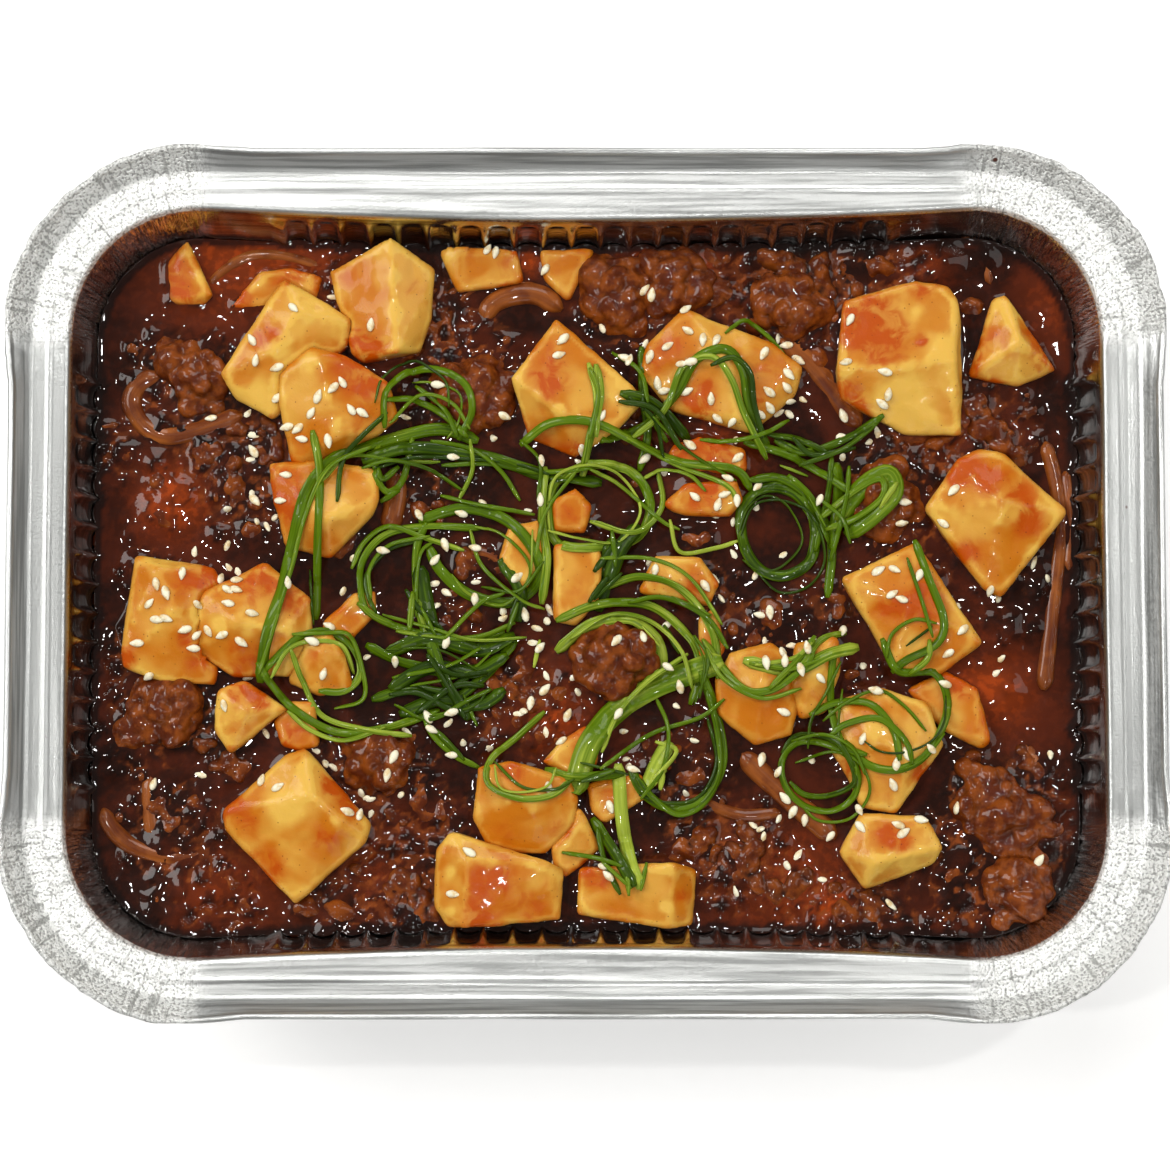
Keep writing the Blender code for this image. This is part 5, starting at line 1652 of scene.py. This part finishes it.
@dataclass
class SaucePool:
    """The sauce that fills the tray, with a skin that swells, climbs what stands in it and covers lumps."""

    tray: FoilTray
    solids: list[bpy.types.Object]
    step: float = 0.8 * MM
    inset: float = 0.15 * MM
    floor: float = 0.9 * MM
    climb: float = 0.8 * MM
    climb_reach: float = 1.5 * MM
    lump: float = 1.4 * MM

    def distance_to_solids(self, heights: HeightMap) -> np.ndarray:
        """Return how far each grid point is from the nearest standing piece, up to a few steps.

        Args:
            heights: the heights of what stands in the sauce.

        Returns:
            One distance for each grid point.
        """
        inside = heights.heights > SAUCE_LEVEL + 0.1 * MM
        far = np.full(inside.shape, 9.0)
        far[inside] = 0.0
        reach = 4
        wide = np.pad(inside, reach)
        for i in range(-reach, reach + 1):
            for j in range(-reach, reach + 1):
                near = wide[reach + i:reach + i + inside.shape[0], reach + j:reach + j + inside.shape[1]]
                far = np.where(near, np.minimum(far, math.hypot(i, j)), far)
        return far * heights.step

    def swell(self, x: float, y: float) -> float:
        """Return the sauce's slow swells above its level."""
        broad = 0.5 * math.sin(x * 71 + 1.3) * math.cos(y * 93 - 0.4)
        return (broad + 0.3 * math.sin(x * 140 - y * 118)) * MM

    def lumps(self, x: float, y: float, meat: float) -> float:
        """Return the small relief of the sauce's skin, rough where there is meat under it.

        Args:
            x: the place along the tray.
            y: the place across it.
            meat: how much meat is there.

        Returns:
            The height over the calm sauce.
        """
        place = Vector((x, y, 0.0))
        ripple = 0.28 * MM * noise.noise(place / (7 * MM)) + 0.1 * MM * noise.noise(place / (2.4 * MM))
        pull = Vector((noise.noise(place / (4 * MM)), noise.noise(place / (4 * MM) + Vector((5, 2, 1))), 0))
        warped = place + pull * 1.2 * MM
        near = noise.voronoi(warped / (4.2 * MM))[0]
        knob = max(0.0, 1 - (1.6 * near[0]) ** 2)
        patch = max(0.0, 0.45 + 0.9 * noise.noise(place / (9 * MM)))
        return ripple + self.lump * meat * patch * math.sqrt(knob)

    def build(self) -> bpy.types.Object:
        """Return the sauce: a grid draped at its level, trimmed to the wall, with its sides and floor.

        Returns:
            The sauce, without a material.
        """
        half_x = self.tray.corner_x + self.tray.radius
        half_y = self.tray.corner_y + self.tray.radius
        heights = HeightMap(half_x, half_y, self.step)
        heights.read(Surface(self.solids))
        far = self.distance_to_solids(heights)
        flat = np.array([heights.place(i, j) for i in range(heights.columns) for j in range(heights.rows)])
        meat = np.clip(dabbed(flat, MEATY), 0, 1).reshape(heights.columns, heights.rows)
        mounds = MM * dabbed(flat, MOUNDS).reshape(heights.columns, heights.rows)
        shape = bmesh.new()
        grid = {}
        for i in range(heights.columns):
            for j in range(heights.rows):
                place = heights.place(i, j)
                kept = self.tray.contour(place, SAUCE_LEVEL, self.inset)
                off = (kept - place).length
                if off > 1.5 * self.step:
                    continue
                z = SAUCE_LEVEL + self.swell(*kept) + self.lumps(kept.x, kept.y, meat[i, j])
                z += mounds[i, j]
                z += self.climb * math.exp(-far[i, j] / self.climb_reach)
                _, outward, reach = self.tray.wall_at(kept, SAUCE_LEVEL)
                z += self.climb * math.exp(-max(0.0, reach - outward.length) / self.climb_reach)
                grid[i, j] = shape.verts.new((kept.x, kept.y, z))
        for i, j in list(grid):
            ring = [grid.get(key) for key in ((i, j), (i + 1, j), (i + 1, j + 1), (i, j + 1))]
            if all(ring):
                shape.faces.new(ring)
        loose = [corner for corner in shape.verts if not corner.link_faces]
        bmesh.ops.delete(shape, geom=loose, context="VERTS")
        self.close(shape)
        return add_piece("glossy_sauce", shape)

    def close(self, shape: bmesh.types.BMesh) -> None:
        """Carry the sauce's rim down the wall and shut it with a floor.

        Args:
            shape: the open skin.
        """
        rim = [edge for edge in shape.edges if edge.is_boundary]
        made = bmesh.ops.extrude_edge_only(shape, edges=rim)["geom"]
        lower = [item for item in made if isinstance(item, bmesh.types.BMVert)]
        for corner in lower:
            place = self.tray.contour(corner.co.xy * 0.9, self.floor, self.inset + 2 * self.tray.tuck)
            corner.co = (place.x, place.y, self.floor)
        edges = [item for item in made if isinstance(item, bmesh.types.BMEdge)]
        bmesh.ops.contextual_create(shape, geom=edges)
        bmesh.ops.recalc_face_normals(shape, faces=shape.faces)

    def dress(self, sauce: bpy.types.Object) -> None:
        """Store where the sauce is thin, where meat shows and the painted shade of its hollows, and give it its
        finish.

        Args:
            sauce: the sauce's object.
        """
        places = places_of(sauce.data)
        raised = standing_out(sauce.data, 8)
        meat = np.clip(dabbed(places, MEATY), 0, 1)
        set_values(sauce.data, "meat", meat * ease(raised, -0.02 * MM, 0.22 * MM))
        # Painted shade: marks the hollows of the skin to be darkened.
        set_values(sauce.data, "hollow", 0.85 * ease(-raised, 0.02 * MM, 0.3 * MM))
        set_values(sauce.data, "thin", np.clip(dabbed(places, THIN_SAUCE), 0, 1))
        sauce.data.materials.append(SauceFinish().make())
        smooth_shaded(sauce)
        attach(sauce, BODY)
        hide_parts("sauce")


# Spring onion: width in mm, tone from dark to light, and the path in readings; a path that closes is a ring
SHREDS = [
    (3.4, 0.4, [(262, 684), (270, 640), (284, 590), (295, 540), (310, 490), (340, 455), (385, 440),
        (440, 428), (478, 440)]),
    (2.2, 0.5, [(313, 432), (321, 480), (318, 560), (316, 620)]),
    (2.0, 0.5, [(266, 674), (283, 655), (303, 638), (330, 633), (354, 650), (361, 675), (345, 692),
        (320, 692)]),
    (2.2, 0.45, [(260, 664), (274, 686), (298, 712), (340, 733), (390, 728), (440, 710)]),
    (2.0, 0.45, [(385, 430), (386, 395), (408, 372), (438, 370), (465, 385), (472, 412), (458, 440)]),
    (1.8, 0.5, [(385, 402), (412, 400), (440, 412), (468, 438)]),
    (1.8, 0.5, [(378, 440), (376, 475), (388, 493), (403, 478), (412, 436)]),
    (3.6, 0.2, [(362, 462), (405, 448), (455, 450), (500, 460), (545, 474), (602, 482)]),
    (2.0, 0.5, [(368, 616), (362, 595), (362, 562), (384, 535), (424, 526), (480, 528)]),
    (2.0, 0.5, [(358, 604), (380, 620), (420, 634), (462, 640), (505, 632)]),
    (3.0, 0.35, [(418, 520), (465, 508), (505, 520), (532, 548), (540, 578), (512, 602), (470, 595),
        (440, 570), (428, 545)]),
    (2.2, 0.5, [(426, 522), (417, 545), (416, 580), (422, 622), (440, 660)]),
    (3.0, 0.3, [(366, 645), (400, 662), (450, 672), (492, 664), (516, 640)]),
    (2.8, 0.15, [(372, 700), (410, 690), (450, 700), (480, 680), (505, 655)]),
    (1.8, 0.5, [(425, 700), (430, 730), (455, 755), (480, 768)]),
    (1.8, 0.6, [(545, 712), (520, 735), (492, 760), (490, 785), (520, 799), (552, 796), (572, 780)]),
    (2.4, 0.7, [(596, 366), (600, 400), (590, 440), (582, 478)]),
    (2.2, 0.3, [(642, 345), (643, 390), (648, 432), (640, 470)]),
    (2.6, 0.4, [(600, 442), (645, 425), (676, 395), (696, 362), (725, 352), (742, 372), (750, 410),
        (770, 452)]),
    (2.4, 0.5, [(520, 445), (550, 425), (590, 424), (630, 440), (680, 462), (735, 470), (752, 490)]),
    (2.6, 0.6, [(560, 545), (548, 515), (556, 482), (590, 465), (630, 470), (650, 500), (640, 535),
        (600, 548), (560, 545)]),
    (2.4, 0.7, [(545, 466), (542, 520), (547, 560), (542, 605)]),
    (4.2, 0.2, [(612, 540), (606, 575), (598, 612)]),
    (3.2, 0.75, [(556, 652), (590, 626), (630, 620), (656, 640), (662, 668), (652, 695)]),
    (2.4, 0.6, [(556, 622), (600, 605), (650, 606), (688, 636), (700, 668), (690, 705)]),
    (2.2, 0.6, [(600, 590), (640, 578), (682, 592), (712, 632), (718, 680)]),
    (3.0, 0.2, [(745, 545), (743, 508), (765, 488), (795, 492), (815, 520), (812, 558), (788, 575),
        (762, 570), (745, 545)]),
    (2.4, 0.3, [(750, 480), (782, 478), (812, 500), (832, 540), (828, 598)]),
    (3.6, 0.45, [(838, 462), (840, 500), (832, 550)]),
    (4.8, 0.6, [(838, 522), (862, 488), (888, 474), (894, 494), (872, 518), (846, 536)]),
    (2.2, 0.4, [(744, 442), (792, 456), (824, 474), (852, 494)]),
    (2.2, 0.3, [(884, 416), (850, 436), (806, 452), (775, 440)]),
    (2.2, 0.35, [(913, 542), (926, 580), (941, 622), (934, 646), (904, 662), (890, 674)]),
    (2.2, 0.4, [(880, 640), (896, 672), (932, 674), (946, 702), (938, 732), (918, 760), (890, 771),
        (862, 764), (842, 742)]),
    (1.8, 0.4, [(782, 760), (800, 742), (832, 748), (854, 768), (852, 796), (830, 811), (802, 805),
        (784, 785), (782, 760)]),
    (2.0, 0.45, [(832, 650), (829, 690), (832, 722), (842, 748), (864, 756)]),
    (2.0, 0.4, [(808, 716), (835, 704), (868, 706), (890, 732), (896, 762)]),
    (3.4, 0.75, [(742, 662), (790, 672), (828, 656), (858, 648)]),
    (2.2, 0.6, [(702, 640), (738, 688), (768, 692), (798, 672), (812, 652)]),
    (6.4, 0.6, [(574, 794), (590, 744), (620, 708), (662, 684), (722, 662)]),
    (2.6, 0.4, [(700, 672), (716, 716), (722, 762), (704, 796), (672, 808), (644, 794), (630, 768)]),
    (3.6, 0.85, [(618, 764), (622, 820), (630, 862), (640, 888)]),
    (3.2, 0.25, [(592, 818), (614, 852), (634, 886)]),
    (2.6, 0.5, [(545, 770), (575, 778), (624, 774)]),
    (4.6, 0.1, [(419, 566), (424, 596), (432, 632)]),
    (4.2, 0.12, [(385, 655), (430, 640), (480, 650), (515, 635)]),
    (3.8, 0.1, [(390, 690), (430, 668), (475, 672), (508, 655)]),
    (3.6, 0.12, [(400, 715), (440, 700), (480, 705), (505, 690)]),
    (3.4, 0.18, [(430, 640), (445, 680), (470, 720)]),
    (3.6, 0.2, [(500, 560), (520, 590), (518, 622)]),
    (4.2, 0.15, [(640, 525), (622, 548), (608, 582)]),
    (3.0, 0.2, [(620, 395), (655, 405), (690, 440)]),
    (4.4, 0.92, [(670, 742), (657, 764), (646, 790)]),
]

# Finer shreds between the broad ones, with the same values
FINE_SHREDS = [
    (1.2, 0.6, [(262, 676), (276, 632), (292, 575), (306, 520), (330, 470), (372, 448)]),
    (1.1, 0.5, [(372, 600), (370, 570), (390, 545), (430, 536)]),
    (1.0, 0.6, [(390, 425), (420, 396), (452, 404), (470, 430)]),
    (1.2, 0.4, [(430, 440), (470, 448), (500, 470), (520, 500)]),
    (1.2, 0.6, [(470, 440), (472, 470), (458, 500)]),
    (1.2, 0.5, [(440, 495), (480, 505), (535, 515)]),
    (1.2, 0.5, [(445, 640), (480, 604), (505, 594)]),
    (1.2, 0.3, [(395, 705), (430, 720), (470, 700), (492, 690)]),
    (1.1, 0.6, [(590, 470), (620, 485), (660, 520), (680, 530)]),
    (1.1, 0.7, [(640, 480), (662, 470), (690, 476), (706, 492)]),
    (1.2, 0.4, [(612, 350), (640, 372), (648, 405)]),
    (1.2, 0.5, [(700, 440), (730, 442), (762, 436), (790, 420)]),
    (1.1, 0.6, [(600, 560), (650, 560), (690, 580), (722, 626)]),
    (1.2, 0.7, [(570, 640), (610, 616), (650, 622), (680, 650), (692, 690)]),
    (1.2, 0.5, [(725, 335), (745, 320), (765, 330), (786, 352)]),
    (1.0, 0.5, [(884, 660), (890, 636), (912, 622), (934, 626)]),
    (1.0, 0.4, [(905, 560), (918, 600), (930, 640)]),
    (1.2, 0.5, [(600, 770), (650, 735), (700, 718), (724, 700)]),
    (1.2, 0.6, [(706, 650), (722, 680), (760, 700), (800, 690)]),
    (1.2, 0.4, [(820, 500), (842, 520), (850, 545)]),
    (1.2, 0.95, [(670, 520), (680, 552), (716, 548), (740, 540)]),
    (1.4, 0.95, [(655, 742), (676, 752), (652, 782)]),
    (1.2, 0.95, [(540, 640), (534, 668)]),
    (1.0, 0.4, [(790, 742), (822, 736), (850, 750), (862, 776)]),
    (1.2, 0.5, [(562, 852), (598, 858), (622, 866)]),
    (1.2, 0.6, [(640, 890), (646, 862)]),
    (1.2, 0.4, [(520, 440), (540, 462), (538, 500)]),
    (1.1, 0.5, [(545, 610), (520, 600), (482, 566), (470, 530)]),
    (1.1, 0.3, [(362, 470), (392, 462), (430, 470), (462, 490)]),
    (1.1, 0.45, [(655, 696), (668, 730), (662, 770), (640, 800)]),
]


@dataclass
class SpringOnion:
    """The tangle of spring onion: thin curved blades, each laid over what is already there."""

    ground: HeightMap
    thickness: float = 0.26 * MM
    fullness: float = 0.85
    point_length: float = 4 * MM
    twist: float = 1.15
    twist_length: float = 14 * MM
    drift: float = 14.0
    wobble: float = 4.0
    step: float = 1.0 * MM
    across: int = 5
    clearance: float = 0.3 * MM
    ceiling: float = 42.2 * MM

    def lay(self, line: list[Vector], width: float) -> list[float]:
        """Return the height of each point of a blade's line, and raise the ground by the blade.

        Args:
            line: the blade's flat line.
            width: the blade's width.

        Returns:
            One height for each point.
        """
        low = [self.ground.at(point) for point in line]
        calm = []
        window = 5
        for index in range(len(line)):
            near = low[max(0, index - window):index + window + 1]
            calm.append(0.5 * max(near) + 0.5 * sum(near) / len(near))
        heights = [min(self.ceiling, max(soft, under)) for soft, under in zip(calm, low)]
        cells = max(0, round(width / 2 / self.ground.step))
        for point, height in zip(line, heights):
            i, j = self.ground.index(point)
            patch = self.ground.heights[max(0, i - cells):i + cells + 1, max(0, j - cells):j + cells + 1]
            np.maximum(patch, height + self.thickness, out=patch)
        return heights

    def blade(self, shape: bmesh.types.BMesh, width: float, tone: float, path: Path,
              seed: float) -> None:
        """Add one blade to a shape.

        Args:
            shape: the bmesh that takes it.
            width: the blade's width in mm.
            tone: its green, from 0, dark, to 1, light.
            path: the line that it follows, in readings.
            seed: what sets its twist.
        """
        shape.loops.layers.uv.verify()
        green = shape.verts.layers.float.get("tone") or shape.verts.layers.float.new("tone")
        line, closed = smooth_path([READING.at(*place) for place in path], self.step)
        heights = self.lay(line, width * MM)
        count = len(line)
        rings = []
        for index, point in enumerate(line):
            before = line[index - 1] if index > 0 or closed else line[0]
            after = line[(index + 1) % count] if index + 1 < count or closed else line[-1]
            way = (after - before).normalized()
            side = Vector((-way.y, way.x, 0))
            run = index / count if closed else 0.0
            turn = Vector((index * self.step / self.twist_length, 0, seed))
            if closed:
                turn = Vector((math.cos(run * math.tau) * 2, math.sin(run * math.tau) * 2, seed))
            twist = self.twist * noise.noise(turn)
            to_end = min(index, count - 1 - index) * self.step
            end = 1.0 if closed else min(1.0, 0.5 + to_end / self.point_length)
            half = self.fullness * width * MM / 2 * end
            flat = side * math.cos(twist) + Vector((0, 0, math.sin(twist)))
            up = Vector((0, 0, math.cos(twist))) - side * math.sin(twist)
            middle = Vector((point.x, point.y, heights[index] + self.clearance + abs(math.sin(twist)) * half))
            top, bottom = [], []
            for step in range(self.across):
                share = 2 * step / (self.across - 1) - 1
                cup = 0.1 * half * 2 * (1 - share * share)
                place = middle + flat * half * share + up * cup
                thin = self.thickness * (1 - 0.5 * share * share)
                top.append(shape.verts.new(place + up * thin / 2))
                bottom.append(shape.verts.new(place - up * thin / 2))
            ring = top + bottom[::-1]
            for corner in ring:
                corner[green] = min(1.0, max(0.0, tone + 0.22 * noise.noise(Vector((index * 0.09, seed, 4)))))
            rings.append(ring)
        join_rings(shape, rings, closed, (self.step, 1 / self.across))

    def companions(self) -> list[tuple[float, float, Path]]:
        """Return a fine shred beside each broad one, split from it when it was cut.

        Returns:
            The width, tone and path of each.
        """
        draw = random.Random(17)
        found = []
        for _, tone, path in SHREDS + SHREDS:
            first = draw.randint(0, len(path) // 2)
            last = len(path) - draw.randint(0, len(path) // 4)
            part = path[first:last]
            if len(part) < 2:
                continue
            middle = (sum(x for x, _ in part) / len(part), sum(y for _, y in part) / len(part))
            shift = (draw.uniform(-self.drift, self.drift), draw.uniform(-self.drift, self.drift))
            size = draw.uniform(0.75, 1.12)
            turn = Matrix.Rotation(draw.uniform(-0.5, 0.5), 2) * size
            moved = []
            for x, y in part:
                off = turn @ Vector((x - middle[0], y - middle[1]))
                wobble = (draw.uniform(-self.wobble, self.wobble), draw.uniform(-self.wobble, self.wobble))
                off += Vector(wobble)
                moved.append((middle[0] + off.x + shift[0], middle[1] + off.y + shift[1]))
            width = draw.uniform(0.6, 1.9)
            found.append((width, min(1.0, max(0.0, tone + draw.uniform(-0.4, 0.3))), moved))
        return found

    def make(self) -> bpy.types.Object:
        """Build, dress and return the tangle.

        Returns:
            The tangle.
        """
        shape = bmesh.new()
        for number, (width, tone, path) in enumerate(SHREDS + self.companions() + FINE_SHREDS):
            self.blade(shape, width, tone, path, number * 3.7)
        bmesh.ops.recalc_face_normals(shape, faces=shape.faces)
        tangle = add_piece("shredded_spring_onion", shape)
        tangle.data.materials.append(GreenFinish().make())
        smooth_shaded(tangle)
        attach(tangle, BODY)
        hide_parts("spring_onion")
        return tangle


# Sesame seeds, as readings
SEEDS = [
    (294, 310), (330, 292), (371, 326), (252, 341), (256, 362), (277, 369), (343, 385), (334, 391),
    (319, 399), (277, 398), (352, 412), (363, 415), (209, 417), (245, 413), (312, 415), (287, 428),
    (298, 430), (252, 434), (252, 450), (248, 457), (302, 440), (329, 443), (403, 417), (495, 250),
    (487, 247), (545, 267), (563, 341), (559, 357), (603, 325), (645, 288), (652, 294), (686, 310),
    (688, 332), (645, 340), (668, 347), (703, 342), (716, 343), (625, 357), (630, 360), (650, 357),
    (764, 355), (682, 367), (690, 365), (658, 383), (665, 391), (687, 392), (438, 385), (504, 416),
    (491, 437), (711, 400), (718, 419), (732, 423), (736, 437), (690, 445), (769, 393), (770, 408),
    (760, 415), (453, 457), (582, 450), (580, 460), (602, 418), (541, 461), (781, 336), (788, 343),
    (800, 358), (845, 365), (850, 322), (884, 375), (888, 396), (882, 405), (845, 414), (879, 431),
    (873, 440), (843, 458), (787, 388), (789, 375), (780, 413), (793, 413), (791, 400), (803, 397),
    (840, 434), (286, 476), (281, 502), (228, 510), (254, 500), (252, 492), (257, 520), (267, 525),
    (272, 517), (227, 547), (192, 553), (185, 576), (229, 569), (237, 572), (221, 580), (239, 582),
    (230, 592), (239, 592), (231, 606), (160, 587), (170, 596), (153, 606), (200, 607), (255, 616),
    (170, 621), (161, 622), (188, 632), (199, 637), (211, 633), (225, 637), (244, 644), (140, 645),
    (196, 650), (151, 677), (250, 679), (314, 643), (290, 585), (343, 593), (330, 627), (365, 657),
    (396, 662), (383, 551), (419, 515), (325, 675), (435, 560), (352, 560), (461, 513), (482, 500),
    (541, 500), (526, 510), (475, 548), (445, 545), (447, 593), (433, 585), (437, 604), (477, 583),
    (475, 600), (517, 578), (504, 613), (525, 615), (502, 620), (548, 610), (545, 620), (538, 630),
    (533, 643), (540, 648), (447, 643), (645, 458), (663, 472), (728, 478), (738, 458), (758, 487),
    (725, 495), (718, 505), (737, 502), (716, 517), (735, 520), (695, 497), (655, 572), (648, 562),
    (736, 554), (716, 577), (705, 587), (755, 575), (722, 597), (643, 639), (616, 643), (669, 625),
    (668, 668), (760, 615), (770, 613), (766, 642), (765, 665), (547, 675), (545, 690), (573, 680),
    (580, 693), (680, 687), (757, 508), (820, 501), (952, 493), (942, 525), (905, 503), (902, 523),
    (783, 555), (893, 572), (877, 573), (917, 578), (890, 597), (899, 602), (952, 600), (958, 608),
    (989, 592), (1000, 600), (1036, 563), (1050, 579), (843, 632), (815, 640), (793, 645), (805, 650),
    (782, 655), (799, 672), (783, 663), (819, 680), (864, 664), (960, 632), (946, 655), (943, 685),
    (1000, 660), (994, 674), (873, 692), (227, 707), (266, 735), (203, 774), (155, 784), (282, 788),
    (265, 781), (319, 752), (327, 762), (336, 767), (395, 758), (389, 776), (361, 795), (367, 797),
    (370, 800), (400, 795), (350, 812), (362, 815), (372, 812), (407, 733), (428, 717), (432, 730),
    (452, 713), (449, 725), (464, 745), (452, 755), (491, 750), (518, 715), (522, 710), (531, 704),
    (547, 734), (568, 716), (562, 742), (618, 715), (622, 732), (625, 758), (627, 768), (633, 770),
    (693, 742), (675, 705), (685, 795), (610, 807), (471, 852), (455, 893), (553, 862), (604, 866),
    (608, 875), (549, 789), (734, 892), (752, 823), (758, 828), (764, 838), (761, 760), (778, 772),
    (782, 713), (811, 762), (784, 798), (792, 812), (780, 818), (804, 820), (829, 836), (857, 810),
    (862, 808), (858, 827), (895, 825), (900, 833), (918, 820), (797, 854), (784, 864), (823, 878),
    (890, 903), (955, 808), (890, 785), (893, 765), (903, 755), (927, 750), (860, 740), (1050, 753),
    (1036, 860),
]


@dataclass
class SesameSeeds:
    """The scattered sesame seeds: one seed modelled once, and a copy of it laid at each place."""

    food: Surface
    length: float = 3.3 * MM
    width: float = 1.85 * MM
    height: float = 1.1 * MM
    sink: float = 0.25 * MM
    sizes: tuple[float, float] = (0.88, 1.1)
    lean: float = 0.2

    def model(self) -> bpy.types.Mesh:
        """Return one seed, one metre each way: a ball drawn to a blunt point at one end.

        Returns:
            The seed's mesh.
        """
        deselect()
        bpy.ops.mesh.primitive_uv_sphere_add(segments=8, ring_count=6, radius=0.5)
        seed = bpy.context.object
        seed.data.transform(Matrix.Rotation(math.radians(90), 4, "Y"))
        for corner in seed.data.vertices:
            pinch = 1 - 0.42 * float(ease(-corner.co.x, -0.05, 0.5))
            corner.co.y *= pinch
            corner.co.z *= 0.5 + 0.5 * pinch
        mesh = seed.data
        mesh.name = "seed"
        bpy.data.objects.remove(seed)
        return mesh

    def make(self) -> bpy.types.Object:
        """Build, dress and return the seeds.

        Returns:
            The seeds, in one piece.
        """
        draw = random.Random(41)
        pattern = self.model()
        shape = bmesh.new()
        for across, down in SEEDS:
            place = READING.at(across, down)
            turn = draw.uniform(0, math.tau)
            size = draw.uniform(*self.sizes)
            point, normal = self.food.under(place)
            if point is None:
                continue
            off = Vector((draw.uniform(-self.lean, self.lean), draw.uniform(-self.lean, self.lean), 0.7))
            tilted = (normal + off).normalized()
            lean = Vector((0, 0, 1)).rotation_difference(tilted).to_matrix().to_4x4()
            shrink = Matrix.Diagonal((self.length * size, self.width * size, self.height, 1))
            lift = Matrix.Translation(point + tilted * (self.height / 2 - self.sink))
            stamp(shape, pattern, lift @ lean @ Matrix.Rotation(turn, 4, "Z") @ shrink)
        seeds = add_piece("sesame_seeds", shape)
        seeds.data.materials.append(SeedFinish().make())
        smooth_shaded(seeds)
        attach(seeds, BODY)
        return seeds


def report(name: str, pieces: list[bpy.types.Object]) -> None:
    """Write to the log how many pieces and triangles a part of the meal has.

    Args:
        name: the part's name.
        pieces: its objects.
    """
    triangles = sum(len(face.vertices) - 2 for piece in pieces for face in piece.data.polygons)
    log.info("%s: %d pieces, %d triangles", name, len(pieces), triangles)


def main() -> None:
    """Build the studio, the tray and the food, each in its turn."""
    logging.basicConfig(level=logging.INFO, format="%(name)s %(message)s")
    Studio().build()
    names = sorted(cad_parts)

    tray = FoilTray(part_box("foil_tray"))
    sheet = tray.build()
    tray.dress(sheet)
    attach(sheet, BODY)
    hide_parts("foil_tray")
    report("tray", [sheet])

    tofu = TofuPieces([name for name in names if name.startswith("tofu")])
    tofu.make()
    report("tofu", tofu.pieces)

    mince = MincedMeat([name for name in names if name.startswith("mince")], tray)
    mince.make()
    report("mince", mince.pieces)

    onions = OnionStrips().make()
    report("onion", onions)

    pool = SaucePool(tray, tofu.pieces + mince.pieces)
    sauce = pool.build()
    pool.dress(sauce)
    report("sauce", [sauce])

    below = tofu.pieces + mince.pieces + onions + [sauce]
    ground = HeightMap(tray.corner_x + tray.radius, tray.corner_y + tray.radius)
    ground.read(Surface(below))
    tangle = SpringOnion(ground).make()
    report("spring onion", [tangle])

    seeds = SesameSeeds(Surface(below + [tangle])).make()
    report("sesame", [seeds])


if __name__ == "__main__":
    main()
